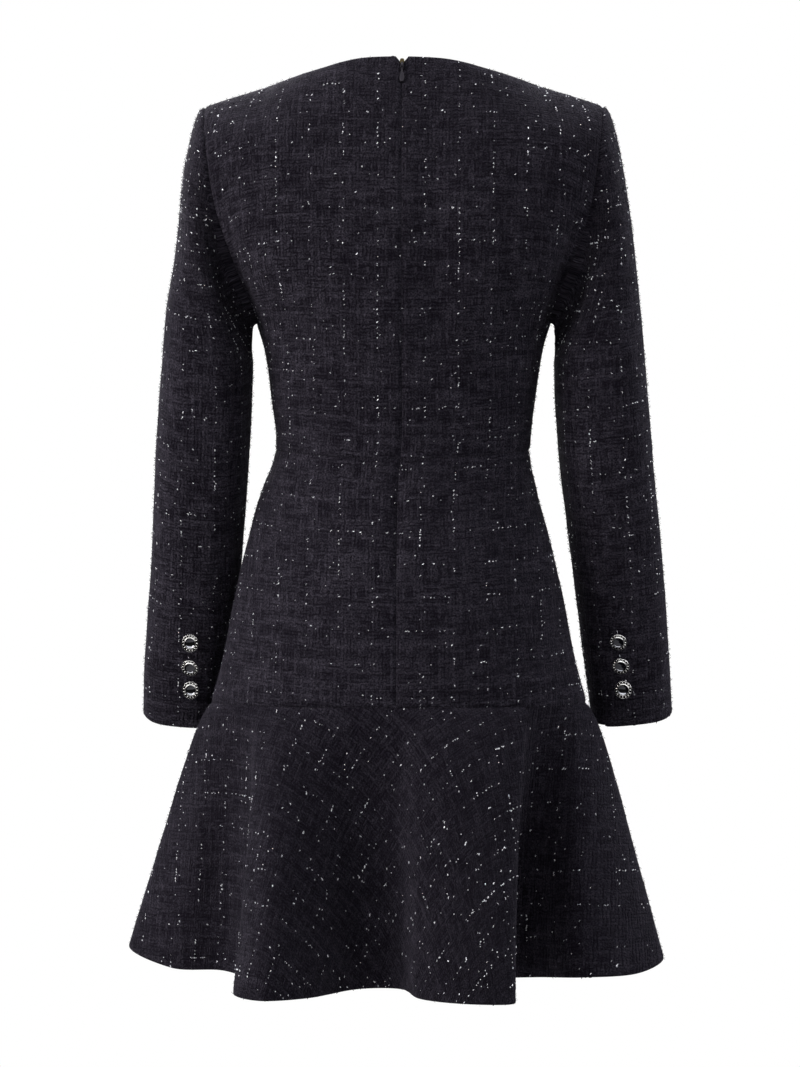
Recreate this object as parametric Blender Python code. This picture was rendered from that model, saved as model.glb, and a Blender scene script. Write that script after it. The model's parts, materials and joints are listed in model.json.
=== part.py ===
"""A long-sleeved fit and flare dress in tweed, worn shape, standing open and empty.

Metres, +Z up, the front of the dress towards -Y and its back towards +Y, so the wearer's left is +X.
The origin is midway between the two points where the neckline meets the shoulder seams: the dress hangs
from the shoulders there. Every cloth piece is a wall made from a grid of points on its outer face and the
same points moved in by the cloth's thickness; pieces that are sewn together share a seam line and stand a
hair apart on it.
"""
from collections import namedtuple
import math

import bmesh
import bpy
import numpy as np
from mathutils import Matrix, Vector

# Cloth and seams
CLOTH = 0.0020          # thickness of the tweed
SEAM_GAP = 0.0004       # between two pieces that are sewn together, measured along the cloth

# Heights of the horizontal seams
HIP_SEAM_Z = -0.585     # where the flounce is sewn on
WAIST_DIP = 0.010       # the waist seam is this much lower at the centre back than at the sides

# Below the waist the dress hangs a little towards the wearer's left
SWING = 0.0045
SWING_FROM_Z = -0.325
SWING_TO_Z = -0.400

# How finely the pieces are divided
SIDE_COLUMNS = 11       # even columns from the middle to the side, beside one narrow column at the middle
NARROW = 0.04           # share of the width that the narrow column takes
NECK_COLUMN = 8         # the column that ends at the neck point
STEPS_BELOW = 2         # rows between two named sections under the arm
STEPS_ABOVE = 3         # rows between two named sections beside the armhole
CAP_STEPS = 6           # sleeve rows from the armhole to the upper arm
ARM_STEPS = 2           # sleeve rows between two named sections of the arm
FLOUNCE_STEPS = 5
FLOUNCE_COLUMNS = {"back": 84, "front": 68}

# Sections of the body from the hip seam up to the armpit: a closed ring each, half_width to the side seam,
# back and front the depths at the middle.
Ring = namedtuple("Ring", "name z half_width back front")
RINGS = [
    Ring("hip seam", HIP_SEAM_Z, 0.1785, 0.120, 0.114),
    Ring("low hip", -0.540, 0.1665, 0.121, 0.114),
    Ring("hip", -0.479, 0.1548, 0.116, 0.112),
    Ring("high hip", -0.422, 0.1412, 0.101, 0.108),
    Ring("below waist", -0.384, 0.1308, 0.088, 0.101),
    Ring("waist", -0.346, 0.1212, 0.081, 0.096),
    Ring("ribs", -0.289, 0.1265, 0.088, 0.104),
    Ring("under bust", -0.251, 0.1325, 0.095, 0.118),
    Ring("armpit", -0.228, 0.1390, 0.100, 0.126),
]
WAIST = 5               # index of the waist in RINGS

# Sections of the upper body, from above the armpit to the yoke: the middle of the row, then the point where
# it meets the armhole. turn is how far round the row has turned when it gets there, in degrees.
Yoke = namedtuple("Yoke", "name mid_y mid_z side_x side_y side_z turn")
BACK_YOKES = [
    Yoke("blade", 0.105, -0.168, 0.1620, 0.048, -0.178, 76),
    Yoke("across back", 0.104, -0.105, 0.1775, 0.060, -0.122, 66),
    Yoke("yoke", 0.088, -0.040, 0.1860, 0.052, -0.056, 62),
]
FRONT_YOKES = [
    Yoke("bust", -0.124, -0.186, 0.1560, -0.048, -0.178, 76),
    Yoke("chest", -0.110, -0.148, 0.1665, -0.058, -0.122, 66),
    Yoke("collarbone", -0.095, -0.113, 0.1800, -0.050, -0.056, 62),
]

# The neckline is a shallow curve seen from above, from the middle to the point where it meets the shoulder
# seam. middle_y and middle_z are where it starts; drops gives how much of the height between its two ends it
# has made good at a share of the width.
NECK_HALF = 0.127
NECK_CURVE = 2.2
Drop = namedtuple("Drop", "share made_good")
Neckline = namedtuple("Neckline", "middle_y middle_z drops")
BACK_NECK = Neckline(0.062, 0.0205, [
    Drop(0.0, 0.0), Drop(0.28, 0.03), Drop(0.44, 0.17), Drop(0.60, 0.40), Drop(0.80, 0.68), Drop(1.0, 1.0),
])
FRONT_NECK = Neckline(-0.082, -0.082, [
    Drop(0.0, 0.0), Drop(0.35, 0.06), Drop(0.60, 0.20), Drop(0.80, 0.40), Drop(0.93, 0.64), Drop(1.0, 1.0),
])
SHOULDER = (0.1890, -0.003, -0.0190)
SHOULDER_ROUND = 0.060  # how strongly the cloth lies over the shoulder where front and back meet
NOTCH_DEPTH = 0.0055    # the two corners of the neckline fall away down the back, into a notch above the zip

# Sections of the arm. left_x and right_x are the distances of the middle from the body's middle, y its depth.
Arm = namedtuple("Arm", "name z left_x right_x left_y right_y half_width half_depth")
ARMS = [
    Arm("upper arm", -0.262, 0.1862, 0.1855, -0.004, -0.004, 0.0437, 0.058),
    Arm("elbow", -0.345, 0.1912, 0.1915, -0.006, -0.006, 0.0445, 0.053),
    Arm("forearm", -0.460, 0.2000, 0.2045, -0.031, -0.026, 0.0430, 0.047),
    Arm("wrist", -0.550, 0.2110, 0.2140, -0.058, -0.042, 0.0408, 0.042),
    Arm("cuff", -0.600, 0.2155, 0.2190, -0.073, -0.052, 0.0390, 0.040),
]
CAP_SPRING = 0.056      # how strongly the sleeve head springs out from the armhole
SLEEVE_FLAT = 0.35      # 0 for an ellipse, more for a flatter back
UNDERARM_SPRING = 0.020
CAP_FALL = 0.16         # how strongly the cap's lines run into the line of the arm
BACK_SEAM = 9           # sleeve columns where the under sleeve begins and ends, counted from the shoulder
FRONT_SEAM = 16

# The flounce's hem seen from above, from the left side round the back, then round the front. from_deg is where
# on the hip seam the cloth of that point comes from, fall how far below the hip seam the hem hangs there.
Fold = namedtuple("Fold", "name x y from_deg fall")
LEFT_SIDE = Fold("left side", 0.2580, -0.006, 0, 0.2320)
RIGHT_SIDE = Fold("right side", -0.2520, 0.000, 180, 0.2420)
BACK_FOLDS = [
    LEFT_SIDE,
    Fold("left lobe", 0.2120, 0.050, 14, 0.2470),
    Fold("left valley", 0.1640, 0.058, 29, 0.2483),
    Fold("left fold, inside", 0.1390, 0.100, 39, 0.2523),
    Fold("left fold", 0.1460, 0.166, 46, 0.2565),
    Fold("left crest", 0.1180, 0.206, 55, 0.2567),
    Fold("left crest, far side", 0.0760, 0.176, 66, 0.2580),
    Fold("middle valley", 0.0340, 0.134, 78, 0.2555),
    Fold("middle valley, end", -0.0040, 0.138, 89, 0.2548),
    Fold("middle fold", -0.0230, 0.196, 98, 0.2560),
    Fold("right crest", -0.0640, 0.220, 112, 0.2570),
    Fold("right fold", -0.1080, 0.203, 131, 0.2590),
    Fold("right fold, inside", -0.0905, 0.125, 134, 0.2590),
    Fold("right valley", -0.0985, 0.048, 141, 0.2571),
    Fold("right valley, end", -0.1290, 0.056, 149, 0.2542),
    Fold("right lobe", -0.1720, 0.090, 160, 0.2499),
    Fold("right lobe, far side", -0.2250, 0.050, 170, 0.2510),
    RIGHT_SIDE,
]
FRONT_FOLDS = [
    RIGHT_SIDE,
    Fold("right front lobe", -0.2370, -0.070, 194, 0.2460),
    Fold("right front crest", -0.1980, -0.118, 208, 0.2480),
    Fold("right front valley", -0.1470, -0.098, 220, 0.2530),
    Fold("right front fold, inside", -0.1280, -0.120, 227, 0.2540),
    Fold("right front fold", -0.1140, -0.168, 236, 0.2550),
    Fold("right middle crest", -0.0740, -0.198, 248, 0.2560),
    Fold("front valley", -0.0080, -0.166, 268, 0.2530),
    Fold("left middle crest", 0.0660, -0.200, 290, 0.2560),
    Fold("left front fold", 0.1080, -0.176, 302, 0.2550),
    Fold("left front fold, inside", 0.1260, -0.120, 311, 0.2540),
    Fold("left front valley", 0.1500, -0.094, 320, 0.2530),
    Fold("left front crest", 0.2020, -0.112, 332, 0.2460),
    Fold("left front lobe", 0.2440, -0.068, 346, 0.2380),
    LEFT_SIDE._replace(from_deg=360),
]
FLARE_OUT = 0.008       # the flounce stands out this far from the straight line between its seam and its hem
FLARE_AT = 0.08         # the share of its length in which it does so
FLARE_DEPTH = 0.190     # from front to back, half the cone that the folds are measured from
FOLD_POWER = 0.75       # the folds open as this power of the distance below the seam, the cone as the distance

# Buttons: three on a shank above each cuff, in a row beside the sleeve's back seam
BUTTON_SIDES = 22
# column is the line of the sleeve that a button sits on, counted from the outside, up its height above the
# cuff's edge, tip how far its top leans out and roll how far it is turned sideways, in degrees
Button = namedtuple("Button", "side number column up tip roll")
BUTTONS = [
    Button("left", 1, 6.49, 0.0889, -13, -14),
    Button("left", 2, 6.68, 0.0639, 9, -9),
    Button("left", 3, 6.94, 0.0405, -12, -14),
    Button("right", 1, 6.72, 0.0847, 14, -10),
    Button("right", 2, 6.71, 0.0611, 14, -10),
    Button("right", 3, 6.70, 0.0371, -9, -9),
]
# Its outline from the end of the shank round the rim to the middle of the dished face
Turn = namedtuple("Turn", "name radius height")
BUTTON_OUTLINE = [
    Turn("shank end", 0.0013, -0.0024),
    Turn("shank", 0.0016, -0.0002),
    Turn("back", 0.0070, 0.0000),
    Turn("edge", 0.0083, 0.0010),
    Turn("rim", 0.0079, 0.0024),
    Turn("rim top", 0.0068, 0.0029),
    Turn("rim inside", 0.0056, 0.0024),
    Turn("dish", 0.0034, 0.0012),
]
DISH_HEIGHT = 0.0009    # the middle of the dish

# Zip
TAPE_THICKNESS = 0.0008
TAPE_TOP = 0.3          # where between the top two rows of the back the tape ends
TAPE_GAP = 0.0006       # between the tape and the cloth in front of it
REST_GAP = 0.0003       # between a hard piece and the cloth that it lies on
PIVOT_DROP = 0.0065     # from the nape down to the axis of the pull tab
SLIDER_WIDTH = 0.0046
SLIDER_UP = 0.0050      # the slider reaches this far above the axis, and SLIDER_DOWN below it
SLIDER_DOWN = 0.0030
SLIDER_THICKNESS = 0.0012
PIVOT_RISE = 0.0011     # from the slider's face to the axis
BRIDGE_HALF_LENGTH = 0.0023
BRIDGE_HEIGHT = 0.0025
BRIDGE_WIDTH = 0.0013
BRIDGE_BAR = 0.0007
BRIDGE_POINTS = 9
PULL_THICKNESS = 0.0008
# The pull tab's outline: half its width at distances down from its axis
Tab = namedtuple("Tab", "name down half_width")
PULL_OUTLINE = [
    Tab("top", -0.00045, 0.0014),
    Tab("bar", 0.0002, 0.0018),
    Tab("below the eye", 0.0040, 0.0018),
    Tab("neck", 0.0060, 0.0015),
    Tab("swell", 0.0100, 0.0020),
    Tab("widest", 0.0122, 0.0023),
    Tab("shoulder", 0.0142, 0.0017),
    Tab("tip", 0.0150, 0.0007),
]
EYE_FROM = 0.00045
EYE_TO = 0.0032
EYE_HALF_WIDTH = 0.00115

TWEED = ("tweed", (0.020, 0.019, 0.023), 0.9, 0.0)
METAL = ("button_metal", (0.42, 0.40, 0.36), 0.25, 1.0)
TAPE = ("zip_tape", (0.010, 0.010, 0.012), 0.8, 0.0)
PULL = ("zip_metal", (0.045, 0.045, 0.050), 0.4, 1.0)


def clear_scene():
    for obj in list(bpy.data.objects):
        bpy.data.objects.remove(obj)


def material(spec):
    name, colour, roughness, metallic = spec
    made = bpy.data.materials.get(name)
    if made is None:
        made = bpy.data.materials.new(name)
        made.use_nodes = True
        shader = made.node_tree.nodes["Principled BSDF"]
        shader.inputs["Base Color"].default_value = (*colour, 1.0)
        shader.inputs["Roughness"].default_value = roughness
        shader.inputs["Metallic"].default_value = metallic
    return made


def add_object(name, vertices, faces, spec, smooth_angle=50):
    """One node from points and faces."""
    mesh = bpy.data.meshes.new(name)
    mesh.from_pydata([tuple(v) for v in vertices], [], faces)
    mesh.materials.append(material(spec))
    mesh.shade_smooth()
    mesh.set_sharp_from_angle(angle=math.radians(smooth_angle))
    obj = bpy.data.objects.new(name, mesh)
    bpy.context.scene.collection.objects.link(obj)
    return obj


# ---------------------------------------------------------------- curves and lofts

def through(keys, steps):
    """A smooth curve through each column of keys (rows x columns x 3), Catmull-Rom with steps rows a gap."""
    keys = np.asarray(keys, float)
    slopes = np.gradient(keys, axis=0)
    return hermite(keys, slopes, slopes, steps)


def hermite(keys, slopes_out, slopes_in, steps):
    """Cubic pieces from key to key: slopes_out leaves a key upwards, slopes_in arrives at it from below."""
    rows = [keys[0]]
    for i in range(len(keys) - 1):
        for k in range(1, steps + 1):
            t = k / steps
            rows.append(
                (2 * t**3 - 3 * t**2 + 1) * keys[i]
                + (t**3 - 2 * t**2 + t) * slopes_out[i]
                + (3 * t**2 - 2 * t**3) * keys[i + 1]
                + (t**3 - t**2) * slopes_in[i + 1]
            )
    return np.array(rows)


def smooth_step(share):
    """From 0 to 1 with level ends."""
    share = np.clip(share, 0, 1)
    return share * share * (3 - 2 * share)


def columns():
    """Shares of the width at which the columns of half a body panel lie, from the middle to the side."""
    return np.concatenate([[0.0], np.linspace(NARROW, 1.0, SIDE_COLUMNS + 1)])


# ---------------------------------------------------------------- body

def ring_row(ring, depth, dip=0.0):
    """A quarter of a closed ring: the ellipse from the middle, at depth, to the side seam."""
    angle = columns() * math.pi / 2
    return np.stack([
        ring.half_width * np.sin(angle),
        depth * np.cos(angle),
        ring.z - dip * np.cos(angle) ** 2,
    ], axis=1)


def yoke_row(yoke):
    """A row that ends at the armhole before it has turned all the way to the side."""
    turn = math.radians(yoke.turn)
    angle = columns() * turn
    round_share = (np.cos(angle) - math.cos(turn)) / (1 - math.cos(turn))
    return np.stack([
        yoke.side_x * np.sin(angle) / math.sin(turn),
        yoke.side_y + (yoke.mid_y - yoke.side_y) * round_share,
        yoke.mid_z + (yoke.side_z - yoke.mid_z) * columns() ** 2,
    ], axis=1)


def neck_row(neck):
    """The top edge: round the neckline to the neck point, then straight along the shoulder seam."""
    share = columns()
    at_neck = share[NECK_COLUMN]
    across = np.minimum(share / at_neck, 1)
    drops = through(np.array(neck.drops), 8)
    made_good = np.interp(across, drops[:, 0], drops[:, 1])
    neckline = np.stack([
        NECK_HALF * across, neck.middle_y * (1 - across ** NECK_CURVE), neck.middle_z * (1 - made_good),
    ], axis=1)
    along = np.clip((share - at_neck) / (1 - at_neck), 0, 1)[:, None]
    shoulder = (1 - along) * np.array([NECK_HALF, 0.0, 0.0]) + along * np.array(SHOULDER)
    return np.where(share[:, None] <= at_neck, neckline, shoulder)


def body_quarter(side):
    """(skirt, bodice) grids of the left back or front quarter, each from its bottom row to its top row."""
    back = side == "back"
    sign = 1 if back else -1
    dip = WAIST_DIP if back else 0.0
    rings = []
    for index, ring in enumerate(RINGS):
        depth = ring.back if back else ring.front
        rings.append(ring_row(ring, sign * depth, dip if index == WAIST else 0.0))
    yokes = [yoke_row(yoke) for yoke in (BACK_YOKES if back else FRONT_YOKES)]
    top = neck_row(BACK_NECK if back else FRONT_NECK)
    keys = np.array(rings + yokes + [top])
    slopes_out = np.gradient(keys, axis=0)
    slopes_in = slopes_out.copy()
    # The side seam turns into the armhole at the armpit: its lines break there, more so nearer the side.
    armpit = len(RINGS) - 1
    broken = (columns() ** 4)[:, None]
    slopes_in[armpit] += broken * (keys[armpit] - keys[armpit - 1] - slopes_in[armpit])
    slopes_out[armpit] += broken * (keys[armpit + 1] - keys[armpit] - slopes_out[armpit])
    # Front and back meet level over the shoulder, and stand up along the neckline. The front's neckline is so
    # much lower that its rows turn over only close to the shoulder.
    over = smooth_step(columns() / columns()[NECK_COLUMN])[:, None]
    if not back:
        over = over ** 3
    slopes_in[-1] = (1 - over) * slopes_in[-1] + over * np.array([0.0, -sign * SHOULDER_ROUND, 0.0])
    below = hermite(keys[:armpit + 1], slopes_out, slopes_in, STEPS_BELOW)
    above = hermite(keys[armpit:], slopes_out[armpit:], slopes_in[armpit:], STEPS_ABOVE)
    if back:
        down = above[-2, 0] - above[-1, 0]
        above[-1, 0] += down * NOTCH_DEPTH / np.linalg.norm(down)
    waist_row = WAIST * STEPS_BELOW
    return below[:waist_row + 1], np.concatenate([below[waist_row:], above[1:]])


def mirrored(grid):
    """The same grid on the wearer's right."""
    return grid * np.array([-1.0, 1.0, 1.0])


def whole_panel(grid):
    """Both halves of a panel that has no seam in its middle, from the left side to the right side."""
    return np.concatenate([grid[:, ::-1], mirrored(grid)[:, 1:]], axis=1)


def swung(grid):
    """The grid moved to the left as the dress hangs, on its way from the waist to the hip."""
    moved = grid.copy()
    share = (SWING_FROM_Z - grid[..., 2]) / (SWING_FROM_Z - SWING_TO_Z)
    moved[..., 0] += SWING * smooth_step(share)
    return moved


# ---------------------------------------------------------------- sleeves

def armhole_loop(back, front):
    """The armhole's points on the left: from the shoulder down the back to the armpit, up the front again."""
    rows = 1 + STEPS_ABOVE * (len(BACK_YOKES) + 1)
    down = back[-rows:, -1][::-1]
    up = front[-rows:, -1]
    return np.concatenate([down, up[1:]])


def arm_ring(centre, along, half_width, half_depth, count):
    """An ellipse square to the arm: it starts on the outside, then goes round by the back and the inside."""
    out = np.array([-along[2], 0.0, along[0]])
    out /= np.linalg.norm(out)
    back = np.cross(out, along)
    angle = np.linspace(0, 2 * math.pi, count)[:, None]
    # The half that faces back is flatter than the one in front, as on a sleeve that hangs empty.
    deep = np.sin(angle) * (1 + SLEEVE_FLAT * np.cos(angle) ** 2 * np.maximum(np.sin(angle), 0))
    return centre + half_width * np.cos(angle) * out + half_depth * deep * back


def sleeve_grid(loop, side):
    """The sleeve's rows from the armhole to the cuff, as it would be on the left."""
    count = len(loop)
    sections = np.array([
        [getattr(arm, side + "_x"), getattr(arm, side + "_y"), arm.z, arm.half_width, arm.half_depth]
        for arm in ARMS
    ])
    sections = through(sections, ARM_STEPS)
    path = sections[:, :3]
    along = np.gradient(path, axis=0)
    along /= np.linalg.norm(along, axis=1)[:, None]
    arm_rows = [
        arm_ring(path[i], along[i], sections[i, 3], sections[i, 4], count) for i in range(len(path))
    ]
    # The cap leaves the armhole outwards, level at the shoulder and slanting down at the underarm.
    height = (1 + np.cos(np.linspace(0, 2 * math.pi, count))) / 2
    spring = UNDERARM_SPRING + (CAP_SPRING - UNDERARM_SPRING) * height
    down = loop[count // 2] - loop[0]
    slant = np.array([-down[2], 0.0, down[0]]) / np.linalg.norm(down)
    leave = spring[:, None] * (slant + height[:, None] * (np.array([1.0, 0.0, 0.0]) - slant))
    reach = np.linalg.norm(arm_rows[0] - loop, axis=1)
    arrive = (CAP_FALL * reach / reach.max())[:, None] * along[0]
    keys = np.array([loop, arm_rows[0]])
    cap = hermite(keys, np.array([leave, leave]), np.array([arrive, arrive]), CAP_STEPS)
    return np.concatenate([cap, arm_rows[1:]])


# ---------------------------------------------------------------- flounce

def hem_curve(folds, count):
    """count + 1 points evenly spaced along the hem, each (x, y, from_deg, fall)."""
    keys = np.array([[fold.x, fold.y, fold.from_deg, fold.fall] for fold in folds])
    chord = np.sqrt(np.linalg.norm(np.diff(keys[:, :2], axis=0), axis=1))
    knots = np.concatenate([[0], np.cumsum(chord)])
    gaps = np.diff(knots)[:, None]
    slopes = np.zeros_like(keys)
    slopes[1:-1] = (keys[2:] - keys[:-2]) / (knots[2:] - knots[:-2])[:, None]
    # At the side seams the hem runs straight front to back.
    slopes[0, 1:] = (keys[1, 1:] - keys[0, 1:]) / gaps[0]
    slopes[-1, 1:] = (keys[-1, 1:] - keys[-2, 1:]) / gaps[-1]
    fine = [keys[:1]]
    for i, gap in enumerate(gaps):
        piece = hermite(keys[i:i + 2], slopes[i:i + 2] * gap, slopes[i:i + 2] * gap, 24)
        fine.append(piece[1:])
    fine = np.concatenate(fine)
    length = np.concatenate([[0], np.cumsum(np.linalg.norm(np.diff(fine[:, :2], axis=0), axis=1))])
    even = np.linspace(0, length[-1], count + 1)
    return np.stack([np.interp(even, length, fine[:, k]) for k in range(4)], axis=1)


def flounce_grid(folds, count):
    """From the hem row up to the seam row: a cone that stands out a little just under the seam, and the folds
    that lie in and out of it. On the side seams the cone is the hem itself."""
    hem = hem_curve(folds, count)
    angle = np.radians(hem[:, 2])
    depth = np.where(np.sin(angle) >= 0, RINGS[0].back, RINGS[0].front)
    seam = np.stack([
        RINGS[0].half_width * np.cos(angle), depth * np.sin(angle), np.full(len(hem), HIP_SEAM_Z),
    ], axis=1)
    edge = np.stack([hem[:, 0], hem[:, 1], HIP_SEAM_Z - hem[:, 3]], axis=1)
    away = np.stack([np.cos(angle), np.sin(angle), np.zeros(len(hem))], axis=1)
    to_right = (1 - np.cos(angle)) / 2
    cone = np.stack([
        (LEFT_SIDE.x - RIGHT_SIDE.x) / 2 * (np.cos(angle) - 1) + LEFT_SIDE.x,
        FLARE_DEPTH * np.sin(angle) + LEFT_SIDE.y + (RIGHT_SIDE.y - LEFT_SIDE.y) * to_right,
        edge[:, 2],
    ], axis=1)
    down = (np.linspace(1, 0, FLOUNCE_STEPS + 1) ** 1.5)[:, None, None]
    flare = FLARE_OUT * (1 - np.exp(-down / FLARE_AT)) * (1 - down)
    return seam + (cone - seam) * down + (edge - cone) * down ** FOLD_POWER + away * flare


# ---------------------------------------------------------------- walls

RIM_ORDER = np.array([0.13, 0.29, 1.0])     # a direction in which no seam runs level


def key_of(point):
    return tuple(np.round(point, 6) + 0.0)


def own_normals(grid):
    """The outward direction of one grid at each of its points."""
    a, b, c, d = grid[:-1, :-1], grid[:-1, 1:], grid[1:, 1:], grid[1:, :-1]
    face = np.cross(c - a, d - b)
    total = np.zeros_like(grid)
    for corner in (np.s_[:-1, :-1], np.s_[:-1, 1:], np.s_[1:, 1:], np.s_[1:, :-1]):
        total[corner] += face
    return total / np.linalg.norm(total, axis=-1, keepdims=True)


def shared_normals(grids):
    """One outward direction for each point, so that the pieces that meet on a seam agree there: half-way
    between the two pieces that face furthest apart."""
    found = {}
    for grid in grids:
        for point, normal in zip(grid.reshape(-1, 3), own_normals(grid).reshape(-1, 3)):
            found.setdefault(key_of(point), []).append(normal)
    shared = {}
    for key, normals in found.items():
        pairs = [(one @ other, one + other) for one in normals for other in normals]
        total = min(pairs, key=lambda pair: pair[0])[1]
        shared[key] = total / np.linalg.norm(total)
    return shared


def at_points(grid, normals):
    """The shared outward direction at each point of a grid."""
    return np.array([normals[key_of(point)] for point in grid.reshape(-1, 3)]).reshape(grid.shape)


def pulled_in(grid, direction, rims):
    """Moves the named edges of a grid inwards by half the seam's gap, square to the shared direction."""
    moved = grid.copy()
    edges = {
        "first_row": (np.s_[0, :], np.s_[1, :]),
        "last_row": (np.s_[-1, :], np.s_[-2, :]),
        "first_column": (np.s_[:, 0], np.s_[:, 1]),
        "last_column": (np.s_[:, -1], np.s_[:, -2]),
    }
    for rim in rims:
        edge, inner = edges[rim]
        step = grid[inner] - grid[edge]
        step -= (step * direction[edge]).sum(axis=1)[:, None] * direction[edge]
        moved[edge] += step * (SEAM_GAP / 2) / np.linalg.norm(step, axis=1)[:, None]
    return moved


def wall(name, grid, direction, spec, depth=0.0, thickness=CLOTH):
    """A piece of cloth: a face depth inside the grid, the same points thickness further in, and its rims."""
    outer = grid - depth * direction
    inner = outer - thickness * direction
    rows, cols = grid.shape[:2]
    count = rows * cols
    index = np.arange(count).reshape(rows, cols)
    quads = np.stack([index[:-1, :-1], index[:-1, 1:], index[1:, 1:], index[1:, :-1]], axis=-1)
    quads = quads.reshape(-1, 4)
    border = np.concatenate([index[0, :-1], index[:-1, -1], index[-1, :0:-1], index[:0:-1, 0]])
    ahead = np.roll(border, -1)
    # Each quad of the rims is cut along the diagonal that starts at its lower end, whichever piece it is on,
    # so that the twisted rims of two neighbours lie along each other.
    height = np.round(grid.reshape(-1, 3) @ RIM_ORDER, 6)
    lower = (height[border] < height[ahead])[:, None]
    a, b, a_in, b_in = border, ahead, border + count, ahead + count
    first = np.where(lower, np.stack([b, a, b_in], 1), np.stack([b, a, a_in], 1))
    second = np.where(lower, np.stack([a, a_in, b_in], 1), np.stack([b, a_in, b_in], 1))
    walls = np.concatenate([quads, quads[:, ::-1] + count])
    rims = np.concatenate([first, second])
    points = np.concatenate([outer.reshape(-1, 3), inner.reshape(-1, 3)])
    return add_object(name, points, walls.tolist() + rims.tolist(), spec)


def cloth_piece(name, grid, normals):
    """One cut piece of tweed, with a hair's gap at every seam."""
    direction = at_points(grid, normals)
    rims = ["first_column", "last_column"]
    level_row = None
    if name.startswith("bodice"):
        rims += ["first_row", "last_row"]
    elif name.startswith("skirt"):
        rims.append("last_row")
        level_row, gap = 0, SEAM_GAP / 2
    elif name.startswith("sleeve"):
        rims.append("first_row")
    else:
        level_row, gap = -1, -SEAM_GAP / 2
    if level_row is not None:
        # Along the hip seam both walls are cut off level.
        direction[level_row, :, 2] = 0
        direction[level_row] /= np.linalg.norm(direction[level_row], axis=1)[:, None]
    placed = pulled_in(grid, direction, rims)
    if level_row is not None:
        placed[level_row, :, 2] = HIP_SEAM_Z + gap
    wall(name, placed, direction, TWEED)


def facing_out(grid, core):
    """The grid with its columns in the order that makes its faces point away from core."""
    i, j = grid.shape[0] // 2, grid.shape[1] // 2
    normal = np.cross(grid[i, j] - grid[i, j - 1], grid[i, j] - grid[i - 1, j])
    return grid if normal @ (grid[i, j] - core) > 0 else grid[:, ::-1]


# ---------------------------------------------------------------- buttons

def turned_points(outline, sides):
    """Rings of a turned shape round +Z, then its two middles, with faces."""
    angle = np.linspace(0, 2 * math.pi, sides, endpoint=False)
    rings = np.array([
        np.stack([turn.radius * np.cos(angle), turn.radius * np.sin(angle), np.full(sides, turn.height)], 1)
        for turn in outline
    ]).reshape(-1, 3)
    middles = [(0, 0, outline[0].height), (0, 0, DISH_HEIGHT)]
    first, last = len(rings), len(rings) + 1
    top = (len(outline) - 1) * sides
    faces = []
    for k in range(sides):
        n = (k + 1) % sides
        faces.append((first, n, k))
        faces.append((last, top + k, top + n))
        for ring in range(0, top, sides):
            faces.append((ring + k, ring + n, ring + sides + n, ring + sides + k))
    return np.concatenate([rings, middles]), faces


def on_sleeve(sleeve, column, up):
    """(point, outward, upward) on a sleeve's outer face, up above the cuff's edge."""
    left = int(column)
    line = (1 - column + left) * sleeve[:, left] + (column - left) * sleeve[:, left + 1]
    line = line[::-1]
    length = np.concatenate([[0], np.cumsum(np.linalg.norm(np.diff(line, axis=0), axis=1))])
    point = np.array([np.interp(up, length, line[:, k]) for k in range(3)])
    row = int(np.searchsorted(length, up))
    upward = line[row] - line[row - 1]
    across = sleeve[::-1][row, left + 1] - sleeve[::-1][row, left]
    outward = np.cross(upward, across)
    if outward[1] < 0:
        outward = -outward
    return Vector(point), Vector(outward).normalized(), Vector(upward).normalized()


def frame_of(outward, upward):
    """A turn that takes +Z to outward and +Y as near as it can to upward."""
    across = upward.cross(outward).normalized()
    return Matrix((across, outward.cross(across), outward)).transposed().to_4x4()


def place_button(button, sleeve):
    """Sits a button on its shank, then tips it, as far out as it takes to clear the sleeve."""
    points, faces = turned_points(BUTTON_OUTLINE, BUTTON_SIDES)
    foot, outward, upward = on_sleeve(sleeve, button.column, button.up)
    tip = Matrix.Rotation(math.radians(button.tip), 4, "X")
    roll = Matrix.Rotation(math.radians(button.roll), 4, "Y")
    turn = frame_of(outward, upward) @ roll @ tip
    lowest = min((turn @ Vector(point)).dot(outward) for point in points)
    place = Matrix.Translation(foot + outward * (REST_GAP - lowest)) @ turn
    obj = add_object(f"button_{button.side}_{button.number}", points, faces, METAL)
    obj.matrix_world = place


# ---------------------------------------------------------------- zip

def along_back(line, drop):
    """(point, downward) on the middle line of the back, drop below its top."""
    length = np.concatenate([[0], np.cumsum(np.linalg.norm(np.diff(line, axis=0), axis=1))])
    point = np.array([np.interp(drop, length, line[:, k]) for k in range(3)])
    row = int(np.searchsorted(length, drop))
    return Vector(point), Vector(line[row] - line[row - 1]).normalized()


def box_mesh(name, low, high, spec):
    """A box between two corners, as its own object."""
    mesh_data = bmesh.new()
    bmesh.ops.create_cube(mesh_data, size=1.0)
    size = Vector(high) - Vector(low)
    middle = (Vector(high) + Vector(low)) / 2
    bmesh.ops.scale(mesh_data, vec=size, verts=mesh_data.verts)
    bmesh.ops.translate(mesh_data, vec=middle, verts=mesh_data.verts)
    points = [vertex.co.copy() for vertex in mesh_data.verts]
    faces = [[vertex.index for vertex in face.verts] for face in mesh_data.faces]
    mesh_data.free()
    return add_object(name, points, faces, spec)


def cutter(obj):
    """Marks an object as one that only shapes another."""
    obj.hide_render = True
    obj.display_type = "WIRE"
    return obj


def boolean(obj, other, operation):
    modifier = obj.modifiers.new(other.name, "BOOLEAN")
    modifier.operation = operation
    modifier.object = other


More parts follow.
